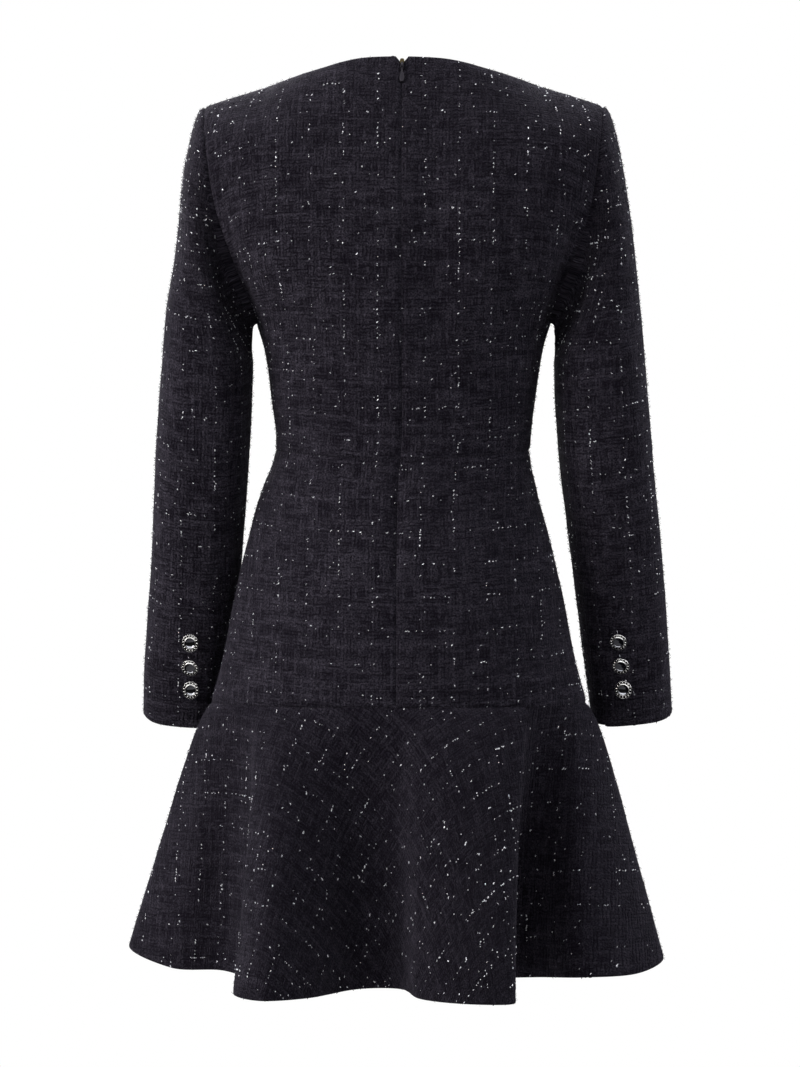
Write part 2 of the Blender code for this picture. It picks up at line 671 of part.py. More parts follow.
def make_bridge():
    """The little arch that the pull tab hangs on: a flat bar bent over half an ellipse along the slider."""
    angle = np.linspace(0, math.pi, BRIDGE_POINTS)
    path = np.stack([
        BRIDGE_HALF_LENGTH * np.cos(angle),
        BRIDGE_HEIGHT * np.sin(angle) - PIVOT_RISE - SLIDER_THICKNESS / 4,
    ], axis=1)
    along = np.gradient(path, axis=0)
    along /= np.linalg.norm(along, axis=1)[:, None]
    square = np.stack([along[:, 1], -along[:, 0]], axis=1)
    # The two feet end level, inside the slider.
    square[0] = (1, 0)
    square[-1] = (-1, 0)
    points = []
    for side in (-1, 1):
        for face in (-1, 1):
            line = path + face * BRIDGE_BAR / 2 * square
            points += [(side * BRIDGE_WIDTH / 2, -y, z) for y, z in line]
    n = BRIDGE_POINTS
    a, b, c, d = 0, n, 3 * n, 2 * n
    faces = [(a, b, c, d), (a + n - 1, d + n - 1, c + n - 1, b + n - 1)]
    for i in range(n - 1):
        for p, q in ((a, b), (b, c), (c, d), (d, a)):
            faces.append((p + i, p + i + 1, q + i + 1, q + i))
    bridge = add_object("bridge", points, faces, PULL)
    fix_normals(bridge)
    return bridge


def fix_normals(obj):
    mesh_data = bmesh.new()
    mesh_data.from_mesh(obj.data)
    bmesh.ops.recalc_face_normals(mesh_data, faces=mesh_data.faces)
    mesh_data.to_mesh(obj.data)
    mesh_data.free()


def make_zip(line, tape, direction):
    """The tape behind the opening, the slider just under the notch, and the pull tab on its bridge."""
    wall("zip_tape", tape, direction, TAPE, depth=CLOTH + TAPE_GAP, thickness=TAPE_THICKNESS)
    foot, downward = along_back(line, PIVOT_DROP)
    across = Vector((1.0, 0.0, 0.0))
    outward = downward.cross(across)
    if outward.y < 0:
        outward = -outward
    # Local axes on the back: X across, Y up the back, Z away from it, with the tab's axis at their origin.
    rise = REST_GAP + SLIDER_THICKNESS + PIVOT_RISE
    place = Matrix.Translation(foot + outward * rise) @ frame_of(outward, -downward)
    face = -PIVOT_RISE
    slider = box_mesh(
        "zip_slider",
        (-SLIDER_WIDTH / 2, -SLIDER_DOWN, face - SLIDER_THICKNESS),
        (SLIDER_WIDTH / 2, SLIDER_UP, face),
        PULL,
    )
    bevel = slider.modifiers.new("soft edges", "BEVEL")
    bevel.width = SLIDER_THICKNESS / 4
    bevel.segments = 2
    bridge = cutter(make_bridge())
    boolean(slider, bridge, "UNION")
    for obj in (slider, bridge):
        obj.matrix_world = place
    # The tab hangs from the bridge and its tip leans on the cloth.
    down = np.array([tab.down for tab in PULL_OUTLINE])
    half = np.array([tab.half_width for tab in PULL_OUTLINE])
    outline = np.concatenate([np.stack([half, -down], 1), np.stack([-half, -down], 1)[::-1]])
    count = len(outline)
    points = [(x, y, z) for z in (-PULL_THICKNESS / 2, PULL_THICKNESS / 2) for x, y in outline]
    faces = [tuple(range(count)), tuple(range(2 * count - 1, count - 1, -1))]
    for k in range(count):
        n = (k + 1) % count
        faces.append((k, k + count, n + count, n))
    pull = add_object("zip_pull", points, faces, PULL)
    fix_normals(pull)
    eye = cutter(box_mesh(
        "eye",
        (-EYE_HALF_WIDTH, -EYE_TO, -PULL_THICKNESS),
        (EYE_HALF_WIDTH, -EYE_FROM, PULL_THICKNESS),
        PULL,
    ))
    boolean(pull, eye, "DIFFERENCE")
    lean = math.asin((rise - REST_GAP - PULL_THICKNESS / 2) / PULL_OUTLINE[-1].down)
    for obj in (pull, eye):
        obj.matrix_world = place @ Matrix.Rotation(lean, 4, "X")


# ---------------------------------------------------------------- the dress

def build():
    clear_scene()
    back_skirt, back_bodice = body_quarter("back")
    front_skirt, front_bodice = body_quarter("front")
    loop = armhole_loop(back_bodice, front_bodice)
    body_core = np.array([0.0, 0.0, -0.4])
    grids = {}
    sleeves = {}
    for side in ("left", "right"):
        turn = mirrored if side == "right" else np.array
        grids[f"bodice_back_{side}"] = facing_out(swung(turn(back_bodice)), body_core)
        grids[f"skirt_back_{side}"] = facing_out(swung(turn(back_skirt)), body_core)
        sleeve = turn(sleeve_grid(loop, side))
        sleeves[side] = sleeve
        arm_core = sleeve.mean(axis=(0, 1))
        upper = np.concatenate([sleeve[:, FRONT_SEAM:], sleeve[:, 1:BACK_SEAM + 1]], axis=1)
        under = sleeve[:, BACK_SEAM:FRONT_SEAM + 1]
        grids[f"sleeve_upper_{side}"] = facing_out(upper, arm_core)
        grids[f"sleeve_under_{side}"] = facing_out(under, arm_core)
    grids["bodice_front"] = facing_out(swung(whole_panel(front_bodice)), body_core)
    grids["skirt_front"] = facing_out(swung(whole_panel(front_skirt)), body_core)
    for side, folds in (("back", BACK_FOLDS), ("front", FRONT_FOLDS)):
        flounce = swung(flounce_grid(folds, FLOUNCE_COLUMNS[side]))
        grids[f"flounce_{side}"] = facing_out(flounce, body_core)
    normals = shared_normals(grids.values())
    for name, grid in grids.items():
        cloth_piece(name, grid, normals)
    for button in BUTTONS:
        place_button(button, sleeves[button.side])

    # The two columns of the back nearest its middle, from the end of the zip up to the neckline
    left_half = np.concatenate([back_skirt[STEPS_BELOW:, :2], back_bodice[1:, :2]])
    strip = swung(np.concatenate([left_half[:, ::-1], mirrored(left_half)[:, 1:]], axis=1))
    strip = facing_out(strip, body_core)
    direction = at_points(strip, normals)
    middle = strip[:, 1][::-1].copy()
    strip[-1] = strip[-2] + TAPE_TOP * (strip[-1] - strip[-2])
    make_zip(middle, strip, direction)


build()
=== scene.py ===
import json
import math

import bpy
import numpy as np
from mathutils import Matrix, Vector


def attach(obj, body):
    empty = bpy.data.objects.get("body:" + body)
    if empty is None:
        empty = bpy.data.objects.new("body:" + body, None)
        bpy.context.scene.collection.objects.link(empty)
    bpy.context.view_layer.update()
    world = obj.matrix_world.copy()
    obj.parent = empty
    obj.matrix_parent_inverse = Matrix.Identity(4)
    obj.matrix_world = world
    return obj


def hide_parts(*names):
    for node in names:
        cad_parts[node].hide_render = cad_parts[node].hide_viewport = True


# A long-sleeved fit and flare dress in black slubbed tweed, empty, in the shape in which it is worn.
# Metres, in the CAD's frame: the back of the dress towards +Y, its front towards -Y, the wearer's left +X.
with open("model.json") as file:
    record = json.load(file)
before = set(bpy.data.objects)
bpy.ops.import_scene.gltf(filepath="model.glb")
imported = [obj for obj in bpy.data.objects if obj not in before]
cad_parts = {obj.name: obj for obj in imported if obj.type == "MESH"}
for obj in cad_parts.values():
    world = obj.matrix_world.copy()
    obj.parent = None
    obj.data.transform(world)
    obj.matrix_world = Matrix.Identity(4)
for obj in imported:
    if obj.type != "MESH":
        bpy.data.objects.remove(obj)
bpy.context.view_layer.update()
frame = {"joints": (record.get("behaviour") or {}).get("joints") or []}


# ---------------------------------------------------------------- camera, light and floor
# The dress is seen from behind, with a strong soft light on the left, a weaker one on the right and small
# ones above the camera and in front. The room is white to the camera and dim on the cloth, and polished
# metal mirrors it as dark with a bright ceiling. The floor is where the wearer's feet would be.
bpy.context.scene.view_settings.view_transform = "Standard"
aim = Vector((0.0033, 0.0, -0.425))
camera_far, picture_width = 3.3, 0.76
camera_turn = math.radians(1.2)
camera = bpy.data.objects.new("camera", bpy.data.cameras.new("camera"))
bpy.context.scene.collection.objects.link(camera)
bpy.context.scene.camera = camera
camera.data.sensor_fit = "HORIZONTAL"
camera.data.sensor_width = 36
camera.data.lens = camera.data.sensor_width * camera_far / picture_width
towards_camera = Vector((-math.sin(camera_turn), math.cos(camera_turn), 0.0))
camera.location = aim + towards_camera * camera_far
camera.rotation_euler = (-towards_camera).to_track_quat("-Z", "Y").to_euler()


def soft_light(name, place, size, power, colour):
    """A square studio light of that size that faces the middle of the dress."""
    lamp = bpy.data.lights.new(name, "AREA")
    lamp.size = size
    lamp.energy = power
    lamp.color = colour
    holder = bpy.data.objects.new(name, lamp)
    bpy.context.scene.collection.objects.link(holder)
    holder.location = place
    holder.rotation_euler = (aim - Vector(place)).to_track_quat("-Z", "Y").to_euler()


soft_light("key light", (2.65, 1.28, 0.55), 1.5, 66.0, (1.0, 0.975, 0.97))
soft_light("fill light", (-2.9, 0.75, 0.1), 1.4, 14.0, (0.92, 0.94, 1.0))
soft_light("top light", (0.2, 3.0, 0.9), 0.9, 2.5, (1.0, 0.98, 0.99))
soft_light("front light", (0.8, -2.6, 0.8), 1.6, 32.0, (1.0, 0.98, 0.97))


def feed(box, **inputs):
    """Fills inputs of a shader node: one that is given as a socket is linked, and any other value is set."""
    for name, value in inputs.items():
        socket = box.inputs[int(name[1:])] if name[1:].isdigit() else box.inputs[name.replace("_", " ")]
        if isinstance(value, bpy.types.NodeSocket):
            box.id_data.links.new(value, socket)
        else:
            socket.default_value = value


def node(tree, kind, settings=None, **inputs):
    """The outputs of a new shader node."""
    made = tree.nodes.new("ShaderNode" + kind)
    for name, value in (settings or {}).items():
        setattr(made, name, value)
    feed(made, **inputs)
    return made.outputs


def mixed(share, one, other):
    """The colour that lies that share of the way from one to the other."""
    return node(share.id_data, "Mix", {"data_type": "RGBA"}, i0=share, i6=one, i7=other)[2]


def new_finish(name):
    """(material, its shader)"""
    made = bpy.data.materials.new(name)
    made.use_nodes = True
    return made, made.node_tree.nodes["Principled BSDF"]


room = bpy.data.worlds.new("white room")
bpy.context.scene.world = room
room.use_nodes = True
sky = room.node_tree
path = node(sky, "LightPath")
light = node(sky, "Background", Color=(0.94, 0.96, 1.0, 1.0), Strength=0.16)["Background"]
above = node(sky, "SeparateXYZ", Vector=node(sky, "TexCoord")["Generated"])["Z"]
ceiling = node(
    sky, "MapRange", {"interpolation_type": "SMOOTHSTEP"}, i0=above, i1=0.16, i2=0.36, i3=0.03, i4=4.5,
)["Result"]
mirrored = node(sky, "Background", Color=(0.96, 0.97, 1.0, 1.0), Strength=ceiling)["Background"]
white = node(sky, "Background", Color=(1.0, 1.0, 1.0, 1.0), Strength=1.0)["Background"]
for ray, seen in (("Is Glossy Ray", mirrored), ("Is Camera Ray", white)):
    light = node(sky, "MixShader", i0=path[ray], i1=light, i2=seen)["Shader"]
feed(sky.nodes["World Output"], Surface=light)

floor_z, floor_reach, floor_sides = -1.36, 2.2, 96
turns = np.linspace(0, 2 * np.pi, floor_sides, endpoint=False)
border = floor_reach * np.stack([np.cos(turns), np.sin(turns), 0 * turns], axis=1) + (0, 0, floor_z)
floor_mesh = bpy.data.meshes.new("floor")
floor_mesh.from_pydata(border.tolist(), [], [list(range(floor_sides))])
floor = bpy.data.objects.new("floor", floor_mesh)
bpy.context.scene.collection.objects.link(floor)
floor_paint, shader = new_finish("floor paint")
# Pale, but dim in the polished metal
in_mirrors = node(shader.id_data, "LightPath")["Is Glossy Ray"]
feed(shader, Base_Color=mixed(in_mirrors, (0.80, 0.80, 0.80, 1.0), (0.20, 0.20, 0.21, 1.0)), Roughness=0.7)
floor_mesh.materials.append(floor_paint)


# ---------------------------------------------------------------- the tweed
# A loosely woven wool and cotton tweed: thick black yarns with thick and thin places, over and under each
# other. It is dyed black, and looks purple-grey where light rakes it.
yarn_pitch = 0.0033
# The yarn's colour from deep in the weave, in painted shade, to where it stands up, painted as lit
yarn_in_shade = (0.0030, 0.0018, 0.0048, 1.0)
yarn_in_light = (0.0410, 0.0365, 0.0490, 1.0)


def spread(value, low, high, to_low, to_high):
    """Goes from to_low to to_high in step with the value's way from low to high, and stays inside."""
    return node(value.id_data, "MapRange", i0=value, i1=low, i2=high, i3=to_low, i4=to_high)["Result"]


def noise(place, scale, detail=2.0):
    """Smooth random values in space, a wave of them 1 / scale metres long."""
    return node(place.id_data, "TexNoise", Vector=place, Scale=scale, Detail=detail)


def tweed_cloth(name, brightness):
    """The cloth's finish, on the flat UV map in metres. Two sets of yarns cross. Seen from its end a yarn is
    half an ellipse: the square root of 1 - (2 d / w) squared at the distance d from its middle line, for a
    width w that noise changes along it. Which set lies on top swaps from crossing to crossing, as on a
    chessboard, but a thick yarn hides thin ones for a stretch, and some gaps stay open for a while."""
    made, shader = new_finish(name)
    tree = made.node_tree

    def sums(kind, *values):
        inputs = {f"i{k}": value for k, value in enumerate(values)}
        return node(tree, "Math", {"operation": kind}, **inputs)[0]

    def product(*values):
        whole = values[0]
        for value in values[1:]:
            whole = sums("MULTIPLY", whole, value)
        return whole

    flat = node(tree, "UVMap", {"uv_map": "flat"})["UV"]
    # The yarns wander by about half a millimetre.
    drift = noise(flat, 160.0)["Color"]
    drift = node(tree, "VectorMath", {"operation": "SUBTRACT"}, i0=drift, i1=(0.5, 0.5, 0.5))[0]
    drift = node(tree, "VectorMath", {"operation": "SCALE"}, i0=drift, Scale=0.0040)[0]
    wandered = node(tree, "VectorMath", {"operation": "ADD"}, i0=flat, i1=drift)[0]
    place = node(tree, "SeparateXYZ", Vector=wandered)
    across = sums("DIVIDE", place["X"], yarn_pitch)
    up = sums("DIVIDE", place["Y"], yarn_pitch)
    swap = product(*(sums("SINE", product(count, math.pi)) for count in (across, up)))

    def at(x, y, z):
        return node(tree, "CombineXYZ", X=x, Y=y, Z=z)["Vector"]

    def yarns(index, along, seed, lift, gap_share):
        """(height, shade, gap) of one set of yarns, numbered by the whole part of index."""
        number = sums("MULTIPLY_ADD", sums("FLOOR", index), 7.31, seed)
        slub = noise(at(number, product(along, 46.0), seed), 1.0)["Fac"]
        width = spread(slub, 0.34, 0.62, 0.60, 1.30)
        beside = sums("ABSOLUTE", sums("SUBTRACT", sums("FRACT", index), 0.5))
        beside = sums("DIVIDE", product(beside, 2.0), width)
        section = sums("SQRT", sums("MAXIMUM", sums("SUBTRACT", 1.0, product(beside, beside)), 0.0))
        lying = sums("MULTIPLY_ADD", swap, lift, spread(slub, 0.34, 0.62, 0.42, 0.90))
        # The gap on this yarn's upper side, its own noise along it, and how close a place is to it
        shifted = sums("ADD", index, 0.5)
        number = sums("MULTIPLY_ADD", sums("FLOOR", shifted), 3.77, seed + 40.0)
        open_here = noise(at(number, product(along, 62.0), seed), 1.0)["Fac"]
        open_here = spread(open_here, gap_share, gap_share + 0.08, 0.0, 1.0)
        close = sums("ABSOLUTE", sums("SUBTRACT", sums("FRACT", shifted), 0.5))
        return product(section, lying), slub, product(open_here, spread(close, 0.10, 0.30, 1.0, 0.0))

    warp, warp_slub, warp_gap = yarns(across, place["Y"], 1.7, 0.16, 0.57)
    weft, weft_slub, weft_gap = yarns(up, place["X"], 5.3, -0.16, 0.53)
    height = sums("MAXIMUM", warp, weft)
    slub = node(tree, "Mix", i0=sums("GREATER_THAN", warp, weft), i2=weft_slub, i3=warp_slub)["Result"]
    # Thick places stand up and are painted lighter, a painted highlight, and thin ones and gaps lie deep and
    # are painted black, painted shade in the weave's hollows. The fibres curl everywhere, and bands of
    # tighter and looser weave run both ways.
    curl = spread(noise(flat, 640.0, 4.0)["Fac"], 0.32, 0.68, 0.0, 1.0)
    gap = sums("MAXIMUM", warp_gap, weft_gap)
    depth = product(height, spread(slub, 0.34, 0.62, 0.60, 1.15), sums("MULTIPLY_ADD", gap, -0.62, 1.0))
    wide = noise(at(product(place["X"], 14.0), product(place["Y"], 110.0), 3.0), 1.0)["Fac"]
    tall = noise(at(product(place["X"], 90.0), product(place["Y"], 16.0), 8.0), 1.0)["Fac"]
    bands = product(spread(wide, 0.32, 0.68, 0.70, 1.30), spread(tall, 0.32, 0.68, 0.84, 1.16))
    # A brightness below 1 darkens this whole copy of the cloth: painted shade.
    patch = spread(noise(flat, 26.0)["Fac"], 0.3, 0.7, 0.9 * brightness, 1.1 * brightness)
    shade = product(depth, sums("MULTIPLY_ADD", curl, 1.75, 0.02), product(bands, patch))
    no_limit = {"data_type": "RGBA", "clamp_factor": False}
    relief = sums("MULTIPLY_ADD", curl, 0.45, depth)
    feed(
        shader, Base_Color=node(tree, "Mix", no_limit, i0=shade, i6=yarn_in_shade, i7=yarn_in_light)[2],
        Normal=node(tree, "Bump", Strength=1.0, Distance=0.0013, Height=relief)["Normal"], Roughness=0.85,
        Specular_IOR_Level=0.05, Sheen_Weight=0.03, Sheen_Roughness=0.55, Sheen_Tint=(0.80, 0.76, 0.90, 1.0),
    )
    return made


tweed = tweed_cloth("black tweed", 1.0)
shaded_tweed = tweed_cloth("black tweed on the bias", 0.65)      # a darker copy of the same cloth: painted shade on the flounce
cloth_thickness = 0.0020        # as the CAD's walls
pane_across = 0.0318            # the silver threads form a windowpane check of this size
pane_up = 0.0309


def new_piece(name, points, faces, finishes, flat=None, which=0, body="dress"):
    """One piece that rides on a body, from an array of points and a list of faces, with its flat map where it
    has one. which says the finish of each face."""
    mesh = bpy.data.meshes.new(name)
    mesh.from_pydata(points.tolist(), [], faces)
    for finish in finishes:
        mesh.materials.append(finish)
    mesh.polygons.foreach_set("material_index", np.broadcast_to(which, len(faces)).astype(np.int32))
    mesh.shade_smooth()
    if flat is not None:
        corners = np.empty(len(mesh.loops), dtype=np.int32)
        mesh.loops.foreach_get("vertex_index", corners)
        mesh.uv_layers.new(name="flat").data.foreach_set("uv", flat[corners].ravel())
    made = bpy.data.objects.new(name, mesh)
    bpy.context.scene.collection.objects.link(made)
    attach(made, body)
    return made


def unit(arrows):
    """The same directions, each one metre long."""
    return arrows / np.linalg.norm(arrows, axis=-1, keepdims=True)


def smooth_step(share):
    """From 0 to 1 with level ends: 3 s squared - 2 s cubed."""
    share = np.clip(share, 0, 1)
    return share * share * (3 - 2 * share)


def along_line(points, axis):
    """How far along its line each point of a grid is: the straight steps before it, added up."""
    step = np.linalg.norm(np.diff(points, axis=axis), axis=-1)
    return np.concatenate([np.zeros_like(step.take([0], axis)), np.cumsum(step, axis)], axis)


def between(keys, leaving, arriving, steps):
    """Cubic pieces from key to key, each of that many steps: a key is left with its leaving slope, and the
    next one is reached with its arriving slope."""
    t = (np.arange(steps) / steps).reshape((-1,) + (1,) * (keys.ndim - 1))
    rows = (
        (2 * t**3 - 3 * t**2 + 1) * keys[:-1, None]
        + (t**3 - 2 * t**2 + t) * leaving[:-1, None]
        + (3 * t**2 - 2 * t**3) * keys[1:, None]
        + (t**3 - t**2) * arriving[1:, None]
    )
    return np.concatenate([rows.reshape((-1,) + keys.shape[1:]), keys[-1:]])


def facing(grid, core):
    """The direction square to a grid of points at each of them, on the side away from core."""
    square = unit(np.cross(np.gradient(grid, axis=1), np.gradient(grid, axis=0)))
    return square * np.sign(np.sum(square * (grid - core)))


def finer_edges(lines):
    """Adds three lines close to the first and to the last line, between them and their neighbours."""
    last = len(lines) - 1
    near = np.array([0.0, 0.12, 0.34, 0.64])
    at = np.concatenate([near, np.arange(1, last), last - near[::-1]])
    low = np.minimum(at.astype(int), last - 1)
    share = (at - low)[:, None, None]
    return lines[low] * (1 - share) + lines[low + 1] * share


edge_round = 0.0022     # the cloth rolls over its edges and into its seams within this distance
pinch_depth = 0.0010    # a seam draws the cloth in by this much
pinch_width = 0.0030
cloth_lumps = ((0.00022, 0.0085, 3), (0.0007, 0.045, 5))        # height, size and seed of its unevenness
lumps_from_edge = 0.006


def slubby(flat, size, seed):
    """Smooth lumps of about the given size: the mean of fourteen sine waves that run in random directions."""
    chance = np.random.default_rng(seed)
    turn = chance.uniform(0, 2 * np.pi, 14)
    wave = 2 * np.pi / (size * chance.uniform(0.7, 1.5, 14))
    start = chance.uniform(0, 2 * np.pi, 14)
    return np.sin((flat[..., :1] * np.cos(turn) + flat[..., 1:] * np.sin(turn)) * wave + start).mean(axis=-1)


def cut_size(flat):
    """((width, length), area) of a piece laid flat: the sides of its box and the sum of its cells."""
    reach = flat.reshape(-1, 2).max(axis=0) - flat.reshape(-1, 2).min(axis=0)
    one, other = flat[1:, 1:] - flat[:-1, :-1], flat[1:, :-1] - flat[:-1, 1:]
    area = 0.5 * np.abs(one[..., 0] * other[..., 1] - one[..., 1] * other[..., 0]).sum()
    return (float(reach[0]), float(reach[1])), float(min(area, reach[0] * reach[1]))


def wall(name, outer, inner, finish, flat):
    """A closed wall between two grids of points that face each other, outer being the one that is seen."""
    rows, cols = outer.shape[:2]
    index = np.arange(rows * cols).reshape(rows, cols)
    cells = np.stack([index[:-1, :-1], index[:-1, 1:], index[1:, 1:], index[1:, :-1]], axis=-1).reshape(-1, 4)
    border = np.concatenate([index[0, :-1], index[:-1, -1], index[-1, :0:-1], index[:0:-1, 0]])
    ahead = np.roll(border, -1)
    rim = np.stack([ahead, border, border + rows * cols, ahead + rows * cols], axis=1)
    faces = np.concatenate([cells, cells[:, ::-1] + rows * cols, rim])
    i, j = rows // 2, cols // 2
    square = np.cross(outer[i, j + 1] - outer[i, j], outer[i + 1, j] - outer[i, j])
    faces = faces if square @ (outer[i, j] - inner[i, j]) > 0 else faces[:, ::-1]
    points = np.concatenate([outer.reshape(-1, 3), inner.reshape(-1, 3)])
    return new_piece(name, points, faces.tolist(), [finish], np.concatenate([flat.reshape(-1, 2)] * 2))


outer_faces = {}        # (points, directions, flat places) of each piece's outer face, for what lies on it


def tweed_piece(name, grid, square, flat, sewn, cloth=tweed):
    """One cut piece of cloth. Its outer face is the grid, its inner face lies one thickness further in, and
    both roll towards each other at the edges as a quarter circle does. A seam draws in the sewn edges, by the
    pinch times e to the minus the square of the distance over its width."""
    sheet = np.concatenate([grid, square, flat], axis=-1)
    sheet = finer_edges(sheet)
    sheet = finer_edges(sheet.swapaxes(0, 1)).swapaxes(0, 1)
    grid, square, flat = sheet[..., :3], unit(sheet[..., 3:6]), sheet[..., 6:]
    down, over = along_line(grid, 0), along_line(grid, 1)
    gaps = {"first row": down, "first column": over}
    gaps |= {"last row": down[-1:] - down, "last column": over[:, -1:] - over}
    edge = np.minimum.reduce(list(gaps.values()))
    seam = np.minimum.reduce([gaps[side] for side in sewn])
    rolled = np.clip(1 - edge / edge_round, 0, 1)
    half = cloth_thickness / 2 * np.maximum(np.sqrt(1 - rolled**2), 0.16)[..., None]
    pinch = (pinch_depth * np.exp(-(seam / pinch_width) ** 2))[..., None]
    inside = smooth_step(edge / lumps_from_edge)[..., None]
    lumps = sum(height * slubby(flat, size, seed) for height, size, seed in cloth_lumps)[..., None] * inside
    middle = grid - (cloth_thickness / 2 + pinch - lumps) * square
    outer, inner = middle + half * square, middle - half * square
    made = wall(name, outer, inner, cloth, flat)
    outer_faces[name] = (outer, square, flat)
    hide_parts(name.replace("tweed_", ""))


# ---------------------------------------------------------------- the bodice and the skirt
# The back is cut in two halves, sewn up the middle behind the zip, the front in one; the skirt's pieces are
# sewn to the bodice's at the waist. Their shape is a ring at each height up to the armpit, and above it a row
# of cloth from the middle to the armhole, up to the neckline and the shoulder seam.
body_steps = 14
share = np.linspace(0, 1, 66)                   # how far a column is from the middle to the side
neck_share = 0.651                              # the column that ends where the neckline meets the shoulder
rings = np.array([
    # height, half the width, depth behind, depth in front
    (-0.585, 0.1785, 0.120, 0.114),             # hip seam
    (-0.540, 0.1665, 0.121, 0.114),
    (-0.479, 0.1548, 0.116, 0.112),
    (-0.422, 0.1412, 0.101, 0.108),
    (-0.384, 0.1308, 0.088, 0.101),
    (-0.346, 0.1212, 0.081, 0.096),             # waist
    (-0.289, 0.1265, 0.088, 0.104),
    (-0.251, 0.1325, 0.095, 0.118),
    (-0.228, 0.1390, 0.100, 0.126),             # armpit
])
waist, armpit = 5, 8
rows_above = {
    # depth and height of the middle, then of the armhole's edge: out, depth and height, and degrees turned
    "back": np.array([
        (0.105, -0.168, 0.1620, 0.048, -0.178, 76),
        (0.104, -0.105, 0.1775, 0.060, -0.122, 66),
        (0.088, -0.040, 0.1860, 0.052, -0.056, 62),
    ]),
    "front": np.array([
        (-0.124, -0.186, 0.1560, -0.048, -0.178, 76),
        (-0.110, -0.148, 0.1665, -0.058, -0.122, 66),
        (-0.095, -0.113, 0.1800, -0.050, -0.056, 62),
    ]),
}
necklines = {
    # depth and height at the middle, then how much of its climb it has made at a share of the way to the neck
    "back": (0.062, 0.0205, (0, 0.28, 0.44, 0.60, 0.80, 1), (0, 0.03, 0.17, 0.40, 0.68, 1)),
    "front": (-0.082, -0.082, (0, 0.35, 0.60, 0.80, 0.93, 1), (0, 0.06, 0.20, 0.40, 0.64, 1)),
}
neck_half, neck_curve = 0.127, 2.2
shoulder = np.array([0.1890, -0.003, -0.0190])
shoulder_round = 0.060
waist_dip = 0.010
hang_aside, hang_from, hang_over = 0.0045, -0.325, 0.075


def quarter(side):
    """(skirt, bodice) grids of the left half of the back or front, from the bottom up and from the middle
    out. Rings are ellipses; the rows above them are parts of one, cut off at the armhole."""
    sign = 1 if side == "back" else -1
    height, half, depth = rings[:, 0, None], rings[:, 1, None], rings[:, 2 if side == "back" else 3, None]
    turn = share * np.pi / 2
    dip = np.zeros_like(height)
    dip[waist] = waist_dip if side == "back" else 0.0
    below = np.stack([
        half * np.sin(turn), sign * depth * np.cos(turn), height - dip * np.cos(turn) ** 2,
    ], axis=-1)
    mid_y, mid_z, side_x, side_y, side_z, degrees = rows_above[side].T[..., None]
    full = np.radians(degrees)
    round_share = (np.cos(share * full) - np.cos(full)) / (1 - np.cos(full))
    above = np.stack([
        side_x * np.sin(share * full) / np.sin(full),
        side_y + (mid_y - side_y) * round_share,
        mid_z + (side_z - mid_z) * share**2,
    ], axis=-1)
    # The top edge: round the neckline to the neck, then straight along the shoulder seam
    neck_y, neck_z, at, made_good = necklines[side]
    drops = np.array([at, made_good]).T
    drops = between(drops, np.gradient(drops, axis=0), np.gradient(drops, axis=0), 8)
    reach = np.minimum(share / neck_share, 1)
    neckline = np.stack([
        neck_half * reach, neck_y * (1 - reach**neck_curve), neck_z * (1 - np.interp(reach, *drops.T)),
    ], axis=-1)
    seam = np.clip((share - neck_share) / (1 - neck_share), 0, 1)[:, None]
    neckline += seam * (shoulder - np.array([neck_half, 0.0, 0.0]))
    keys = np.concatenate([below, above, neckline[None]])
    leaving = np.gradient(keys, axis=0)
    arriving = leaving.copy()
    # The side seam's line breaks where it turns into the armhole.
    broken = (share**4)[:, None]
    arriving[armpit] += broken * (keys[armpit] - keys[armpit - 1] - arriving[armpit])
    leaving[armpit] += broken * (keys[armpit + 1] - keys[armpit] - leaving[armpit])
    # Front and back meet level over the shoulder.
    over = smooth_step(share / neck_share)[:, None] ** (1 if side == "back" else 3)
    arriving[-1] = (1 - over) * arriving[-1] + over * np.array([0.0, -sign * shoulder_round, 0.0])
    grid = between(keys, leaving, arriving, body_steps)
    return grid[:waist * body_steps + 1], grid[waist * body_steps:]


def swung(grid):
    """The grid as the dress hangs: moved to the wearer's left, in a smooth step from the waist to the hip."""
    moved = grid.copy()
    moved[..., 0] += hang_aside * smooth_step((hang_from - grid[..., 2]) / hang_over)
    return moved


quarters = {side: quarter(side) for side in ("back", "front")}
right_hand = np.array([-1.0, 1.0, 1.0])
body_core = np.array([0.0, 0.0, -0.4])
armhole_rows = body_steps * 4 + 1


# ---------------------------------------------------------------- the sleeves' shape
# Two-piece sleeves, set in at the armhole: rings round the arm down to the cuff, and a head that springs out
# from the armhole and runs into them. The arm hangs and bends a little forwards at the elbow.
arms = {
    # across, depth and height of the arm's middle, half its width and half its depth
    "left": np.array([
        (0.1862, -0.004, -0.262, 0.0437, 0.058),
        (0.1912, -0.006, -0.345, 0.0445, 0.053),
        (0.2000, -0.031, -0.460, 0.0430, 0.047),
        (0.2110, -0.058, -0.550, 0.0408, 0.042),
        (0.2155, -0.073, -0.600, 0.0390, 0.040),
    ]),
    "right": np.array([
        (0.1855, -0.004, -0.262, 0.0437, 0.058),
        (0.1915, -0.006, -0.345, 0.0445, 0.053),
        (0.2045, -0.026, -0.460, 0.0430, 0.047),
        (0.2140, -0.042, -0.550, 0.0408, 0.042),
        (0.2190, -0.052, -0.600, 0.0390, 0.040),
    ]),
}
cap_spring, underarm_spring, cap_fall = 0.056, 0.020, 0.16
sleeve_flat = 0.35                              # 0 for an ellipse, more for a flatter back
cap_steps, arm_steps = 26, 22


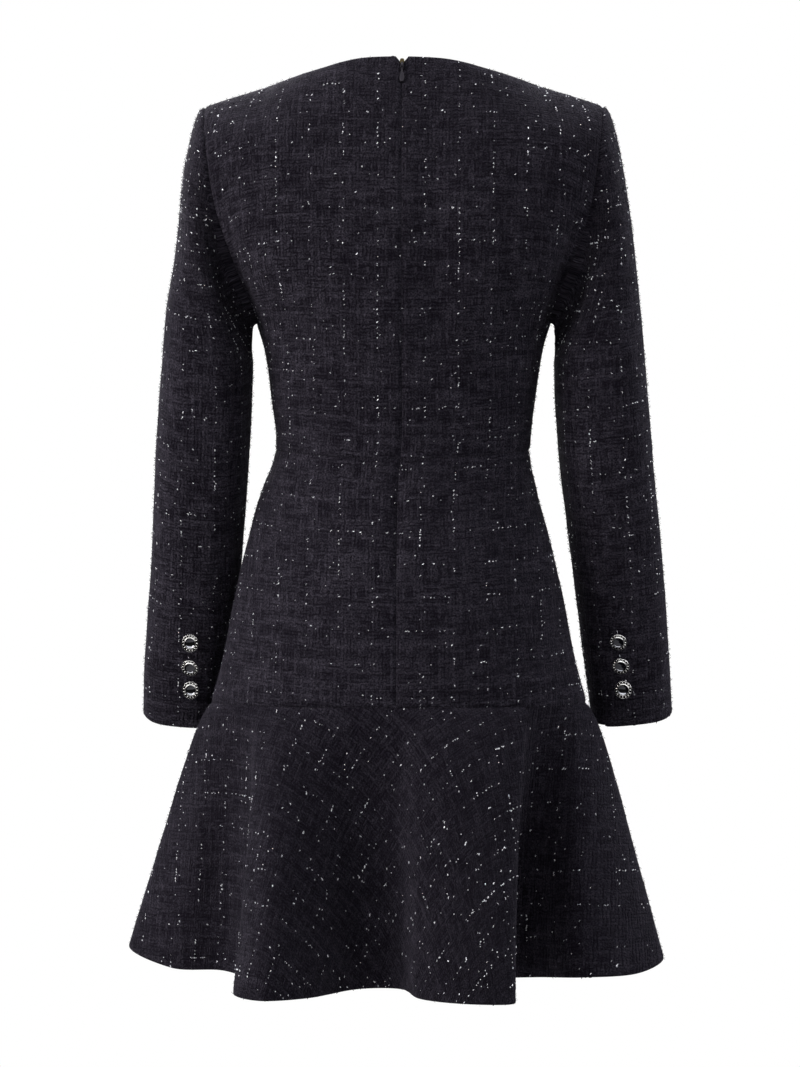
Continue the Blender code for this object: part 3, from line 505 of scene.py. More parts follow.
def sleeve_grid(side, loop):
    """The sleeve's rows from the armhole's loop to the cuff, as on the left. Each ring is an ellipse square
    to the arm that starts outside and goes round by the back."""
    keys = arms[side]
    rows = between(keys, np.gradient(keys, axis=0), np.gradient(keys, axis=0), arm_steps)
    path = rows[:, :3]
    along = unit(np.gradient(path, axis=0))
    out = unit(np.stack([-along[:, 2], np.zeros(len(path)), along[:, 0]], axis=1))
    back = np.cross(out, along)
    turn = np.linspace(0, 2 * np.pi, len(loop))[:, None]
    arm = path[:, None] + rows[:, 3, None, None] * np.cos(turn) * out[:, None]
    # The half that faces back is flatter than the one in front, as on a sleeve that hangs empty.
    deep = np.sin(turn) * (1 + sleeve_flat * np.cos(turn) ** 2 * np.maximum(np.sin(turn), 0))
    arm += rows[:, 4, None, None] * deep * back[:, None]
    # The cap leaves the armhole outwards, level at the shoulder and slanting down at the underarm.
    height = (1 + np.cos(turn)) / 2
    down = loop[len(loop) // 2] - loop[0]
    slant = np.array([-down[2], 0.0, down[0]]) / np.linalg.norm(down)
    spring = underarm_spring + (cap_spring - underarm_spring) * height
    leave = spring * (slant + height * (np.array([1.0, 0.0, 0.0]) - slant))
    reach = np.linalg.norm(arm[0] - loop, axis=1)
    arrive = (cap_fall * reach / reach.max())[:, None] * along[0]
    cap = between(np.array([loop, arm[0]]), np.array([leave] * 2), np.array([arrive] * 2), cap_steps)
    return np.concatenate([cap, arm[1:]])


armhole = np.concatenate([
    quarters["back"][1][-armhole_rows:, -1][::-1], quarters["front"][1][-armhole_rows:, -1][1:],
])
sleeves = {side: sleeve_grid(side, armhole) for side in ("left", "right")}


# ---------------------------------------------------------------- the pieces of the bodice and the skirt
# Where two pieces are sewn together they share one direction across the seam, so that their edges meet.

def body_directions():
    """The directions out of the left halves, back and front: a piece's own, made one with its neighbour's at
    the middle, the side seam, the shoulder and the armhole."""
    whole = {side: np.concatenate([skirt[:-1], bodice]) for side, (skirt, bodice) in quarters.items()}
    made = {side: facing(grid, body_core) for side, grid in whole.items()}
    for square in made.values():
        square[:, 0, 0] = 0.0
    side_seam = (np.arange(len(made["back"]) - armhole_rows + 1), -1)
    for seam in (side_seam, (-1, share >= neck_share)):
        made["back"][seam] = made["front"][seam] = made["back"][seam] + made["front"][seam]
    sleeve = facing(sleeves["left"], sleeves["left"].mean(axis=(0, 1)))[0]
    count = armhole_rows
    made["back"][-count:, -1] = unit(made["back"][-count:, -1]) + sleeve[:count][::-1]
    made["front"][-count:, -1] = unit(made["front"][-count:, -1]) + sleeve[count - 1:]
    for square in made.values():
        # Along the hip seam the walls are cut off level.
        square[0, :, 2] = 0.0
    return {side: unit(square) for side, square in made.items()}


squares = body_directions()
armhole_square = np.concatenate([
    squares["back"][-armhole_rows:, -1][::-1], squares["front"][-armhole_rows:, -1][1:],
])

# Soft dents and folds in the back: across and height of the middle, degrees from upright, half length, half
# width, depth. The dart-like ones are the pressed lines beside the zip.
back_folds = [
    (-0.099, -0.182, 4, 0.034, 0.0045, 0.0022),
    (-0.070, -0.312, 8, 0.045, 0.0030, 0.0008),
    (-0.084, -0.392, 10, 0.045, 0.0030, 0.0008),
    (0.077, -0.312, -8, 0.045, 0.0030, 0.0007),
    (0.088, -0.392, -10, 0.045, 0.0030, 0.0007),
    (0.000, -0.405, 0, 0.055, 0.0085, 0.0045),
    (-0.030, -0.165, 0, 0.130, 0.0240, 0.0062),
    (0.1640, -0.172, 11, 0.070, 0.0150, 0.0110),        # at the armholes, as on the sleeves
    (-0.1610, -0.175, -11, 0.065, 0.0150, 0.0110),
    (-0.045, -0.408, -21, 0.045, 0.0140, 0.0030),
    (0.118, -0.210, 30, 0.050, 0.0110, 0.0022),
    (-0.112, -0.236, -34, 0.045, 0.0100, 0.0022),
    (-0.060, -0.330, 82, 0.060, 0.0090, 0.0014),
    (0.062, -0.322, 96, 0.055, 0.0090, 0.0012),
]


def folded(grid, square, folds):
    """The grid with dents in it where it faces back, each a bell of the distance along it times a bell of the
    distance beside it."""
    dented = grid.copy()
    faces_back = smooth_step((square[..., 1] + 0.3) / 0.5)
    for x, z, degrees, length, width, depth in folds:
        lean = math.radians(degrees)
        over, up = grid[..., 0] - x, grid[..., 2] - z
        along = over * math.sin(lean) + up * math.cos(lean)
        beside = over * math.cos(lean) - up * math.sin(lean)
        dent = depth * np.exp(-(along / length) ** 2 - (beside / width) ** 2) * faces_back
        dented -= dent[..., None] * square
    return dented


def body_flat(grid, waist_row, first_across, first_up):
    """Where a quarter's points lie in the flat cloth: along its row from the middle, along its column from
    the waist. The two firsts are where the check's nearest lines lie."""
    across = along_line(grid, 1) - first_across
    up = along_line(grid, 0)
    return np.stack([across, up - up[waist_row] - first_up], axis=-1)


notch_deep, notch_wide = 0.0080, 0.0062
back_line, front_line = 0.022, 0.016            # where the check's first upright line stands, from the middle
skirt_line, bodice_line = -0.0096, 0.016        # and its first level line, from the waist
body_seams = ["first row", "first column", "last column"]
for side, (skirt, bodice) in quarters.items():
    back = side == "back"
    square = squares[side]
    line = back_line if back else front_line
    parts = {
        "skirt": (skirt, square[:len(skirt)], body_flat(skirt, -1, line, skirt_line)),
        "bodice": (bodice, square[len(skirt) - 1:], body_flat(bodice, 0, line, bodice_line)),
    }
    if back:
        # The two corners of the neckline fall away down the back, into a notch above the zip.
        top = smooth_step((np.arange(len(bodice)) - len(bodice) + body_steps) / body_steps)[:, None]
        corner = smooth_step(1 - bodice[..., 0] / notch_wide)
        bodice += (notch_deep * top * corner)[..., None] * unit(bodice[-2] - bodice[-1])
    for part, (grid, direction, flat) in parts.items():
        sewn = body_seams + (["last row"] if part == "skirt" else [])
        if back:
            for hand, turn in (("left", np.ones(3)), ("right", right_hand)):
                tweed_piece(
                    f"tweed_{part}_back_{hand}", swung(folded(grid * turn, direction * turn, back_folds)),
                    direction * turn, flat * np.array([turn[0], 1.0]), sewn,
                )
        else:
            from_middle = flat + (line, 0)
            grid, direction, flat = (
                np.concatenate([half[:, ::-1], half[:, 1:] * turn], axis=1)
                for half, turn in ((grid, right_hand), (direction, right_hand), (from_middle, (-1.0, 1.0)))
            )
            tweed_piece(f"tweed_{part}_front", swung(grid), direction, flat - (line, 0), sewn)


# ---------------------------------------------------------------- the sleeves
# Each is cut in two: a broad upper sleeve and a narrow under sleeve, whose back seam ends above the buttons
# in a closed vent. The cap is eased into the armhole.
back_seam, front_seam = 0.375, 0.667            # shares of the round, where the under sleeve begins and ends
vent_top, vent_lap, vent_wide, vent_fade = 0.105, 0.0016, 0.011, 0.02
# Dents as on the back: across and height, degrees from upright, half length, half width, depth
sleeve_folds = {
    "left": [
        (0.2165, -0.150, 5, 0.045, 0.020, 0.0050), (0.1640, -0.172, 11, 0.070, 0.015, 0.0110),
        (0.196, -0.330, 70, 0.040, 0.008, 0.0012),
    ],
    "right": [(0.1610, -0.175, 11, 0.065, 0.015, 0.0110), (0.196, -0.345, 110, 0.040, 0.008, 0.0012)],
}
for side, grid in sleeves.items():
    turn = np.ones(3) if side == "left" else right_hand
    square = facing(grid, grid.mean(axis=(0, 1)))
    square[:, 0] = square[:, -1] = square[:, 0] + square[:, -1]
    square[0] = armhole_square
    square = unit(square)
    round_arm = along_line(grid, 1)
    up = along_line(grid, 0)
    up = up[-1:] - up
    last = grid.shape[1] - 1
    start, end = round(back_seam * last), round(front_seam * last)
    # The upper sleeve's edge laps over the under sleeve from the cuff up to the top of the vent.
    beside = round_arm - round_arm[:, start:start + 1]
    lap = vent_lap * smooth_step((vent_top - up) / vent_fade) * np.exp(-(beside / vent_wide) ** 2)
    lap = lap[..., None] * square
    grid = folded(grid, square, sleeve_folds[side])
    flat = np.stack([round_arm, up], axis=-1)
    before = np.stack([round_arm - round_arm[:, -1:], up], axis=-1)
    upper = [
        np.concatenate([one[:, end:], other[:, 1:start + 1]], axis=1)
        for one, other in ((grid, grid + lap), (square, square), (before, flat))
    ]
    under = [one[:, start:end + 1] for one in (grid - lap, square, flat)]
    for part, (place, direction, laid) in (("upper", upper), ("under", under)):
        tweed_piece(
            f"tweed_sleeve_{part}_{side}", place * turn, direction * turn, laid * np.array([turn[0], 1.0]),
            body_seams,
        )


# ---------------------------------------------------------------- the flounce
# A circular flounce in two pieces, back and front, each a third of a full ring cut on the bias, so that its
# upper edge fits the hip seam and its hem, over twice as long, falls in deep folds.
flounce_folds = {
    # the hem's place across and in depth, the degrees round the hip seam where that cloth starts, its fall
    "back": np.array([
        (0.2580, -0.006, 0, 0.2320), (0.2120, 0.050, 14, 0.2470), (0.1640, 0.058, 29, 0.2483),
        (0.1390, 0.100, 39, 0.2523), (0.1460, 0.166, 46, 0.2565), (0.1180, 0.206, 55, 0.2567),
        (0.0760, 0.176, 66, 0.2580), (0.0340, 0.134, 78, 0.2555), (-0.0040, 0.138, 89, 0.2548),
        (-0.0230, 0.196, 98, 0.2560), (-0.0640, 0.220, 112, 0.2570), (-0.1080, 0.203, 131, 0.2590),
        (-0.0905, 0.125, 134, 0.2590), (-0.0985, 0.048, 141, 0.2571), (-0.1290, 0.056, 149, 0.2542),
        (-0.1720, 0.090, 160, 0.2499), (-0.2250, 0.050, 170, 0.2510), (-0.2520, 0.000, 180, 0.2420),
    ]),
    "front": np.array([
        (-0.2520, 0.000, 180, 0.2420), (-0.2370, -0.070, 194, 0.2460), (-0.1980, -0.118, 208, 0.2480),
        (-0.1470, -0.098, 220, 0.2530), (-0.1280, -0.120, 227, 0.2540), (-0.1140, -0.168, 236, 0.2550),
        (-0.0740, -0.198, 248, 0.2560), (-0.0080, -0.166, 268, 0.2530), (0.0660, -0.200, 290, 0.2560),
        (0.1080, -0.176, 302, 0.2550), (0.1260, -0.120, 311, 0.2540), (0.1500, -0.094, 320, 0.2530),
        (0.2020, -0.112, 332, 0.2460), (0.2440, -0.068, 346, 0.2380), (0.2580, -0.006, 360, 0.2320),
    ]),
}
flounce_columns, flounce_rows = 300, 72
flare_out, flare_at, fold_power = 0.008, 0.08, 0.75
cone_half, cone_depth, row_power = 0.255, 0.190, 1.15
flounce_turn = math.radians(120)


def hem_line(keys):
    """Points evenly spaced along the hem: cubic pieces from fold to fold, whose slope at a fold is that from
    the one before to the one after, the step being the square root of their distance."""
    step = np.sqrt(np.linalg.norm(np.diff(keys[:, :2], axis=0), axis=1))
    knots = np.concatenate([[0], np.cumsum(step)])
    slopes = np.zeros_like(keys)
    slopes[1:-1] = (keys[2:] - keys[:-2]) / (knots[2:] - knots[:-2])[:, None]
    slopes[0, 1:] = (keys[1, 1:] - keys[0, 1:]) / step[0]
    slopes[-1, 1:] = (keys[-1, 1:] - keys[-2, 1:]) / step[-1]
    leaving = slopes * np.append(step, 1)[:, None]
    arriving = slopes * np.append(1, step)[:, None]
    fine = between(keys, leaving, arriving, 48)
    length = along_line(fine[:, :2], 0)
    even = np.linspace(0, length[-1], flounce_columns + 1)
    return np.stack([np.interp(even, length, column) for column in fine.T], axis=1)


for side, keys in flounce_folds.items():
    hem = hem_line(keys)
    turn = np.radians(hem[:, 2])
    half, behind, before = rings[0, 1:]
    depth = np.where(np.sin(turn) >= 0, behind, before)
    top = np.stack([half * np.cos(turn), depth * np.sin(turn), np.full(len(hem), rings[0, 0])], axis=1)
    edge = np.stack([hem[:, 0], hem[:, 1], rings[0, 0] - hem[:, 3]], axis=1)
    away = np.stack([np.cos(turn), np.sin(turn), np.zeros(len(hem))], axis=1)
    # The rows spread straight down to a plain cone at first, and on to the folded hem further down.
    down = (np.linspace(1, 0, flounce_rows + 1) ** row_power)[:, None, None]
    cone = away * (cone_half, cone_depth, 0) + (0.003, -0.003, 0)
    cone[:, 1] -= 0.003 * away[:, 0]
    cone[:, 2] = edge[:, 2]
    grid = top + (cone - top) * down + (edge - cone) * down**fold_power
    grid += away * flare_out * (1 - np.exp(-down / flare_at)) * (1 - down)
    square = facing(grid, body_core)
    square[-1, :, 2] = 0.0
    square = unit(square)
    # Laid flat it is a sector of a ring; the grain runs at 45 degrees to its middle.
    round_seam = along_line(top, 0)
    radius = round_seam[-1] / flounce_turn + along_line(grid[::-1], 0)[::-1]
    angle = (round_seam / round_seam[-1] - 0.5) * flounce_turn + math.radians(45)
    flat = np.stack([radius * np.sin(angle), -radius * np.cos(angle)], axis=-1)
    # The flounce is made in the darker copy of the tweed: painted shade.
    tweed_piece(
        f"tweed_flounce_{side}", swung(grid), square, flat, ["last row", "first column", "last column"],
        shaded_tweed,
    )


# ---------------------------------------------------------------- silver thread and slubs
# A flat silver thread is woven in every 32 mm both ways and shows only in short bits, where it comes to the
# surface. Slubs are the thick places of the black yarn that stand up from the cloth.
chance = np.random.default_rng(11)


def dropped(surface, per_m2):
    """Random places on a piece, evenly over its flat area: (count, place, direction out, flat place, warp
    direction, weft direction). The last two are how the flat cloth's up and across run there."""
    points, square, flat = surface
    count = int(cut_size(flat)[1] * per_m2)
    corner = (np.s_[:-1, :-1], np.s_[:-1, 1:], np.s_[1:, :-1], np.s_[1:, 1:])
    over, up = flat[corner[1]] - flat[corner[0]], flat[corner[2]] - flat[corner[0]]
    area = np.abs(over[..., 0] * up[..., 1] - over[..., 1] * up[..., 0]).ravel()
    cell = chance.choice(area.size, count, p=area / area.sum())
    s, t = chance.uniform(0, 1, (2, count, 1))

    def at(values):
        a, b, c, d = (values[part].reshape(-1, values.shape[-1])[cell] for part in corner)
        return (a * (1 - s) + b * s) * (1 - t) + (c * (1 - s) + d * s) * t, b - a, c - a

    place, step_over, step_up = at(points)
    laid, flat_over, flat_up = at(flat)
    out = unit(at(square)[0])
    turn = flat_over[:, :1] * flat_up[:, 1:] - flat_over[:, 1:] * flat_up[:, :1]
    warp = unit((flat_over[:, :1] * step_up - flat_up[:, :1] * step_over) / turn)
    weft = unit((flat_up[:, 1:] * step_over - flat_over[:, 1:] * step_up) / turn)
    return count, place, out, laid, warp, weft


def strewn(name, surfaces, shape, faces, pick, finish):
    """One mesh of small closed shapes on several pieces. shape is one of them, its points as shares of its
    length, width and height, and pick chooses places and says how each lies and how big it is."""
    points, flats = [], []
    for surface in surfaces:
        place, along, beside, out, size, flat = pick(surface)
        local = shape * size[:, None]
        made = place[:, None] + local[..., :1] * along[:, None] + local[..., 1:2] * beside[:, None]
        points.append((made + local[..., 2:] * out[:, None]).reshape(-1, 3))
        flats.append((flat[:, None] + local[..., :2]).reshape(-1, 2))
    points = np.concatenate(points)
    shift = np.arange(0, len(points), len(shape))[:, None]
    everything = [corners for face in faces for corners in (np.array(face) + shift).tolist()]
    new_piece(name, points, everything, [finish], np.concatenate(flats))


# A bit of thread: flat on top, three-sided, its two ends in the cloth and its middle raised
thread_bit = np.array([
    (x, y, z) for x, lift in ((-0.5, -0.35), (-0.17, 0.75), (0.20, 0.80), (0.5, -0.35))
    for y, z in ((-0.5, lift), (0.5, lift), (0.0, lift - 0.7))
])
bit_faces = [(0, 1, 2), (11, 10, 9)]
for ring in (0, 3, 6):
    for one, two in ((0, 1), (1, 2), (2, 0)):
        bit_faces.append((ring + two, ring + one, ring + one + 3, ring + two + 3))
near_line = 0.00062         # a bit this close to a line of the check lies on its thread


def thread_places(surface):
    """Places on the lines of the check, more of them on the upright ones, and a few anywhere."""
    count, place, out, flat, warp, weft = dropped(surface, 110000)
    panes = flat / np.array([pane_across, pane_up])
    off = np.abs(panes - np.round(panes)) * np.array([pane_across, pane_up])
    upright = off[:, 0] < near_line
    level = (off[:, 1] < near_line) & (chance.uniform(0, 1, count) < 0.62) & ~upright
    # The thread shows in runs: a slow wave along each line, of its own phase, thins it out.
    line = np.where(upright, np.round(panes[:, 0]), np.round(panes[:, 1]) + 57)
    along = np.where(upright, flat[:, 1], flat[:, 0])
    runs = 0.5 + 0.5 * np.sin(along / 0.019 + line * 2.3 + 1.7 * np.sin(along / 0.047 + line))
    shown = (upright | level) & (chance.uniform(0, 1, count) < 0.25 + 0.75 * runs)
    anywhere = chance.uniform(0, 1, count) < 0.010
    up = np.where(anywhere & ~shown, chance.uniform(0, 1, count) < 0.5, upright)
    keep = shown | anywhere
    along = np.where(up[:, None], warp, weft)
    # Most bits follow the yarn's twist.
    along = unit(along + chance.normal(-0.45, 0.45, (count, 1)) * np.where(up[:, None], weft, warp))
    beside = unit(np.cross(out, along))
    roll = chance.normal(0, 0.55, (count, 1))
    tilted = unit(out * np.cos(roll) + beside * np.sin(roll))
    beside = np.cross(tilted, along)
    size = np.stack([
        0.0010 + 0.0018 * chance.uniform(0, 1, count) ** 2, chance.uniform(0.00070, 0.00120, count),
        chance.uniform(0.00035, 0.00060, count),
    ], axis=1)
    return place[keep], along[keep], beside[keep], tilted[keep], size[keep], flat[keep]


silver, shader = new_finish("silver thread")
crinkle = noise(node(shader.id_data, "TexCoord")["Object"], 1900.0)["Fac"]
feed(
    shader, Base_Color=mixed(crinkle, (0.62, 0.63, 0.68, 1), (0.92, 0.92, 0.94, 1)),
    Roughness=spread(crinkle, 0.3, 0.7, 0.16, 0.42), Metallic=0.6,
)

# A slub: a low mound, pointed at both ends
nub = np.array([(-0.5, 0, -0.2), (0.5, 0, -0.2), (0, -0.5, 0), (0, 0.5, 0), (-0.1, 0.05, 1.0), (0, 0, -0.8)])
nub_faces = [(4, 0, 2), (4, 2, 1), (4, 1, 3), (4, 3, 0), (5, 2, 0), (5, 1, 2), (5, 3, 1), (5, 0, 3)]


def slub_places(surface):
    """Places all over the cloth, each along one yarn or the other."""
    count, place, out, flat, warp, weft = dropped(surface, 11000)
    along = np.where(chance.uniform(0, 1, (count, 1)) < 0.45, warp, weft)
    size = np.stack([
        chance.uniform(0.0022, 0.0070, count), chance.uniform(0.0010, 0.0019, count),
        chance.uniform(0.00022, 0.00050, count),
    ], axis=1)
    return place, along, np.cross(out, along), out, size, flat


# The wool's loose fibres stand off the cloth and blur its edges: thin needles, bent over once
fibre = np.array([(-0.5, -0.5, -0.05), (-0.5, 0.5, -0.05), (0.0, 0.1, 0.75), (0.5, 0.0, 1.0)])
fibre_faces = [(2, 1, 0), (3, 2, 0), (2, 3, 1), (1, 3, 0)]


def fibre_places(surface):
    """Places all over the cloth and directions all round, each leaning over by its own amount."""
    count, place, out, flat, warp, weft = dropped(surface, 36000)
    turn = chance.uniform(0, 2 * np.pi, (count, 1))
    along = np.cos(turn) * warp + np.sin(turn) * weft
    along = unit(along - np.sum(along * out, axis=1)[:, None] * out)
    size = np.stack([
        chance.uniform(0.0010, 0.0036, count), chance.uniform(0.00010, 0.00020, count),
        chance.uniform(0.0005, 0.0021, count),
    ], axis=1)
    return place, along, np.cross(out, along), out, size, flat


groups = {
    "bodice": ["bodice_back_left", "bodice_back_right", "bodice_front"],
    "skirt": ["skirt_back_left", "skirt_back_right", "skirt_front"],
    "flounce": ["flounce_back", "flounce_front"],
    "sleeves": ["sleeve_upper_left", "sleeve_under_left", "sleeve_upper_right", "sleeve_under_right"],
}
for group, members in groups.items():
    surfaces = [outer_faces["tweed_" + member] for member in members]
    strewn(f"silver_thread_{group}", surfaces, thread_bit, bit_faces, thread_places, silver)
    # The flounce's slubs and fibres take the darker copy of the tweed too: painted shade.
    cloth = shaded_tweed if group == "flounce" else tweed
    strewn(f"slubs_{group}", surfaces, nub, nub_faces, slub_places, cloth)
    strewn(f"loose_fibres_{group}", surfaces, fibre, fibre_faces, fibre_places, cloth)


# ---------------------------------------------------------------- the buttons
# Three on each cuff, cast in a white metal and polished: a rim of small beads in a near-black channel, a
# bright ring and a dished mirror. Each hangs on a wire shank that is sewn to the sleeve.

def metal(name, colour, roughness, scratches):
    """A polished metal whose roughness and brightness vary in fine patches."""
    made, shader = new_finish(name)
    patch = noise(node(shader.id_data, "TexCoord")["Object"], 900.0, 3.0)["Fac"]
    feed(
        shader, Base_Color=mixed(patch, (*colour, 1.0), [0.8 * part for part in colour] + [1.0]),
        Roughness=spread(patch, 0.3, 0.7, roughness, roughness + scratches), Metallic=1.0,
    )
    return made


button_silver = metal("button silver", (0.56, 0.55, 0.53), 0.16, 0.16)
button_dark = metal("button channel", (0.008, 0.007, 0.007), 0.35, 0.20)
button_mirror = metal("button mirror", (0.17, 0.17, 0.18), 0.06, 0.04)

button_sides = 64
# radius and height of the outline from the end of the shank to the middle of the mirror, and its finish:
# 0 for silver, 1 for the channel and 2 for the mirror
button_outline = np.array([
    (0.00001, -0.00240, 0), (0.00130, -0.00240, 0), (0.00160, -0.00020, 0), (0.00690, 0.00000, 0),
    (0.00800, 0.00050, 0), (0.00834, 0.00110, 0), (0.00834, 0.00165, 0), (0.00820, 0.00185, 0),
    (0.00800, 0.00186, 0), (0.00786, 0.00172, 1), (0.00774, 0.00120, 1), (0.00612, 0.00120, 1),
    (0.00588, 0.00150, 0), (0.00570, 0.00205, 0), (0.00540, 0.00230, 0), (0.00505, 0.00228, 0),
    (0.00478, 0.00200, 1), (0.00462, 0.00160, 2), (0.00420, 0.00138, 2), (0.00330, 0.00108, 2),
    (0.00220, 0.00084, 2), (0.00100, 0.00070, 2), (0.00001, 0.00066, 2),
])
bead_count, bead_place = 15, np.array([0.00690, 0.0, 0.00140])
bead_size = np.array([0.00092, 0.00068, 0.00075])


def skin(rings):
    """(points, faces) of the surface through a stack of rings of points, of which the first and the last are
    drawn together in one point."""
    rings[[0, -1]] = rings[[0, -1]].mean(axis=1, keepdims=True)
    index = np.arange(rings.shape[0] * rings.shape[1]).reshape(rings.shape[:2])
    index[[0, -1]] = index[[0, -1], :1]
    ahead = np.roll(index, -1, 1)
    faces = np.stack([index[:-1], ahead[:-1], ahead[1:], index[1:]], axis=-1)
    return rings.reshape(-1, 3), faces.reshape(-1, 4)


def turned_on(outline, sides):
    """An outline turned round the Z axis. It begins and ends on the axis."""
    turn = np.linspace(0, 2 * np.pi, sides, endpoint=False)
    far, high = outline[:, :1], np.repeat(outline[:, 1:2], sides, axis=1)
    return skin(np.stack([far * np.cos(turn), far * np.sin(turn), high], axis=-1))


def tube(path, radius, sides):
    """A round wire along a path, pointed at both ends."""
    along = unit(np.gradient(path, axis=0))
    side = unit(np.cross(along, [0.31, 0.77, 0.55]))
    turn = np.linspace(0, 2 * np.pi, sides, endpoint=False)[:, None]
    round_wire = np.cos(turn) * side[:, None] + np.sin(turn) * np.cross(along, side)[:, None]
    return skin(path[:, None] + radius * round_wire)


def hard_piece(name, parts, finishes, body, cad_node=None):
    """A piece put together from parts, each (points, faces, the number of its finish or of each face's). It
    rides on a body and may stand for a CAD node."""
    points = np.concatenate([part[0] for part in parts])
    starts = np.cumsum([0] + [len(part[0]) for part in parts])
    faces = np.concatenate([part[1] + start for part, start in zip(parts, starts)])
    which = np.concatenate([np.broadcast_to(part[2], len(part[1])) for part in parts])
    # A corner that comes twice in a face, at a pole, is left out, and so are points in no face.
    used, corners = np.unique(faces, return_inverse=True)
    faces = [list(dict.fromkeys(face)) for face in corners.reshape(faces.shape).tolist()]
    made = new_piece(name, points[used], faces, finishes, which=which, body=body)
    if cad_node:
        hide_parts(cad_node)


def node_points(name):
    """The different points of a CAD node."""
    mesh = bpy.data.objects[name].data
    points = np.empty(len(mesh.vertices) * 3)
    mesh.vertices.foreach_get("co", points)
    return np.unique(np.round(points.reshape(-1, 3), 6), axis=0)


def button_place(name):
    """(origin, axes) of a CAD button: the axes are sideways, upwards and out of the face. A button's points
    spread least along its axis, and reach furthest from their middle at the end of the shank."""
    points = node_points(name)
    middle = points.mean(axis=0)
    out = np.linalg.svd(points - middle)[2][-1]
    height = (points - middle) @ out
    if height.max() > -height.min():
        out, height = -out, -height
    up = unit(np.array([0.0, 0.0, 1.0]) - out[2] * out)
    return middle + out * (height.min() - button_outline[0, 1]), np.array([np.cross(up, out), up, out])


arc = np.linspace(0, math.pi, 7)
bead, bead_faces = turned_on(np.stack([np.sin(arc) + 1e-5, -np.cos(arc)], axis=1), 10)
face_finish = np.repeat(button_outline[1:, 2], button_sides)
body_points, body_faces = turned_on(button_outline, button_sides)
hanging = ("left_2", "right_1", "right_2")
# The wire of a shank, as a curve of three control points: it shows above a button that hangs forward.
wire_points = ((0.0002, 0.0050, -0.0010), (-0.0006, 0.0102, 0.0000), (-0.0016, 0.0108, -0.0052))
bend = np.linspace(0, 1, 9)[:, None]
wire_weights = ((1 - bend) ** 2, 2 * bend * (1 - bend), bend**2)
shank_wire = sum(weight * np.array(point) for weight, point in zip(wire_weights, wire_points))
wire_radius = 0.00028
for which in ("left_1", "left_2", "left_3", "right_1", "right_2", "right_3"):
    origin, axes = button_place(f"button_{which}")
    parts = [(body_points @ axes + origin, body_faces, face_finish)]
    for turn in np.arange(bead_count) * 2 * math.pi / bead_count:
        c, s = math.cos(turn), math.sin(turn)
        spin = np.array([[c, s, 0], [-s, c, 0], [0, 0, 1]])
        parts.append(((bead * bead_size + bead_place) @ spin @ axes + origin, bead_faces, 0))
    if which in hanging:
        parts.append((*tube(shank_wire @ axes + origin, wire_radius, 8), 2))
    finishes = [button_silver, button_dark, button_mirror]
    hard_piece(f"polished_button_{which}", parts, finishes, "dress", f"button_{which}")


# ---------------------------------------------------------------- the zip
# A concealed zip down the middle of the back: its tape and coil lie behind the cloth, and only the slider and
# its drop-shaped pull tab show under the notch in the neckline. The tab swings on the slider's bridge.
tape_gap, tape_thickness = 0.0006, 0.0008
tape_columns = 4
tape_end = 10.767           # where it stops, in sections of the body counted from the hip seam
coil_pitch = 0.0014


zip_tape, shader = new_finish("zip tape")
ribs = node(
    shader.id_data, "TexWave", {"bands_direction": "X"}, Vector=node(shader.id_data, "TexCoord")["Object"],
    Scale=390.0, Distortion=1.0, Detail=1.0,
)["Fac"]
feed(
    shader, Base_Color=mixed(ribs, (0.004, 0.004, 0.005, 1), (0.013, 0.012, 0.015, 1)), Roughness=0.8,
    Normal=node(shader.id_data, "Bump", Strength=0.4, Distance=0.0002, Height=ribs)["Normal"],
)
zip_nylon, shader = new_finish("zip coil")
streak = noise(node(shader.id_data, "TexCoord")["Object"], 1500.0)["Fac"]
feed(shader, Base_Color=(0.008, 0.008, 0.010, 1.0), Roughness=spread(streak, 0.3, 0.7, 0.25, 0.42))
zip_black = metal("zip metal", (0.011, 0.010, 0.012), 0.24, 0.14)
zip_worn = metal("worn zip metal", (0.026, 0.020, 0.009), 0.35, 0.20)

column = np.concatenate([quarters["back"][0][:-1], quarters["back"][1]])[:, :tape_columns]
strip_square = squares["back"][:, :tape_columns]
first, last = body_steps, round(tape_end * body_steps) + 1
strip = np.concatenate([(column * right_hand)[:, :0:-1], column], axis=1)[first:last]
strip_square = np.concatenate([(strip_square * right_hand)[:, :0:-1], strip_square], axis=1)[first:last]
strip = swung(folded(strip, strip_square, back_folds))
outer = strip - (cloth_thickness + tape_gap) * strip_square
inner = outer - tape_thickness * strip_square
laid = np.stack([along_line(strip, 1), along_line(strip, 0)], axis=-1)
tape = wall("woven_zip_tape", outer, inner, zip_tape, laid)
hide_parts("zip_tape")

# The coil's turns, from one side and the other in turn, on the inner face of the tape
middle = inner[:, tape_columns - 1]
length = along_line(middle, 0)
turns = np.arange(0.004, length[-1] - 0.002, coil_pitch / 2)
foot = np.stack([np.interp(turns, length, part) for part in middle.T], axis=1)
inward = -np.stack([np.interp(turns, length, part) for part in strip_square[:, tape_columns - 1].T], axis=1)
side = np.where(np.arange(len(turns)) % 2 == 0, 1.0, -1.0)[:, None]
tooth = np.array([
    (x, y, z) for x, r in ((-0.5, 0.16), (-0.25, 0.34), (1.2, 0.34), (1.9, 0.18))
    for y, z in ((-r, 0.30), (0.0, 0.30 + r), (r, 0.30), (0.0, 0.30 - r))
]) / 1000
across = np.array([1.0, 0.0, 0.0])
upward = np.cross(inward, across)
teeth = foot[:, None] + tooth[None, :, :1] * side[:, None] * across + tooth[None, :, 1:2] * upward[:, None]
teeth = teeth + tooth[None, :, 2:] * inward[:, None]
ring = np.arange(4)
tooth_faces = np.concatenate([
    np.stack([ring, np.roll(ring, -1), np.roll(ring, -1) + 4, ring + 4], axis=1) + 4 * k for k in range(3)
] + [[[3, 2, 1, 0], [12, 13, 14, 15]]])
shift = (np.arange(len(turns)) * 16)[:, None, None]
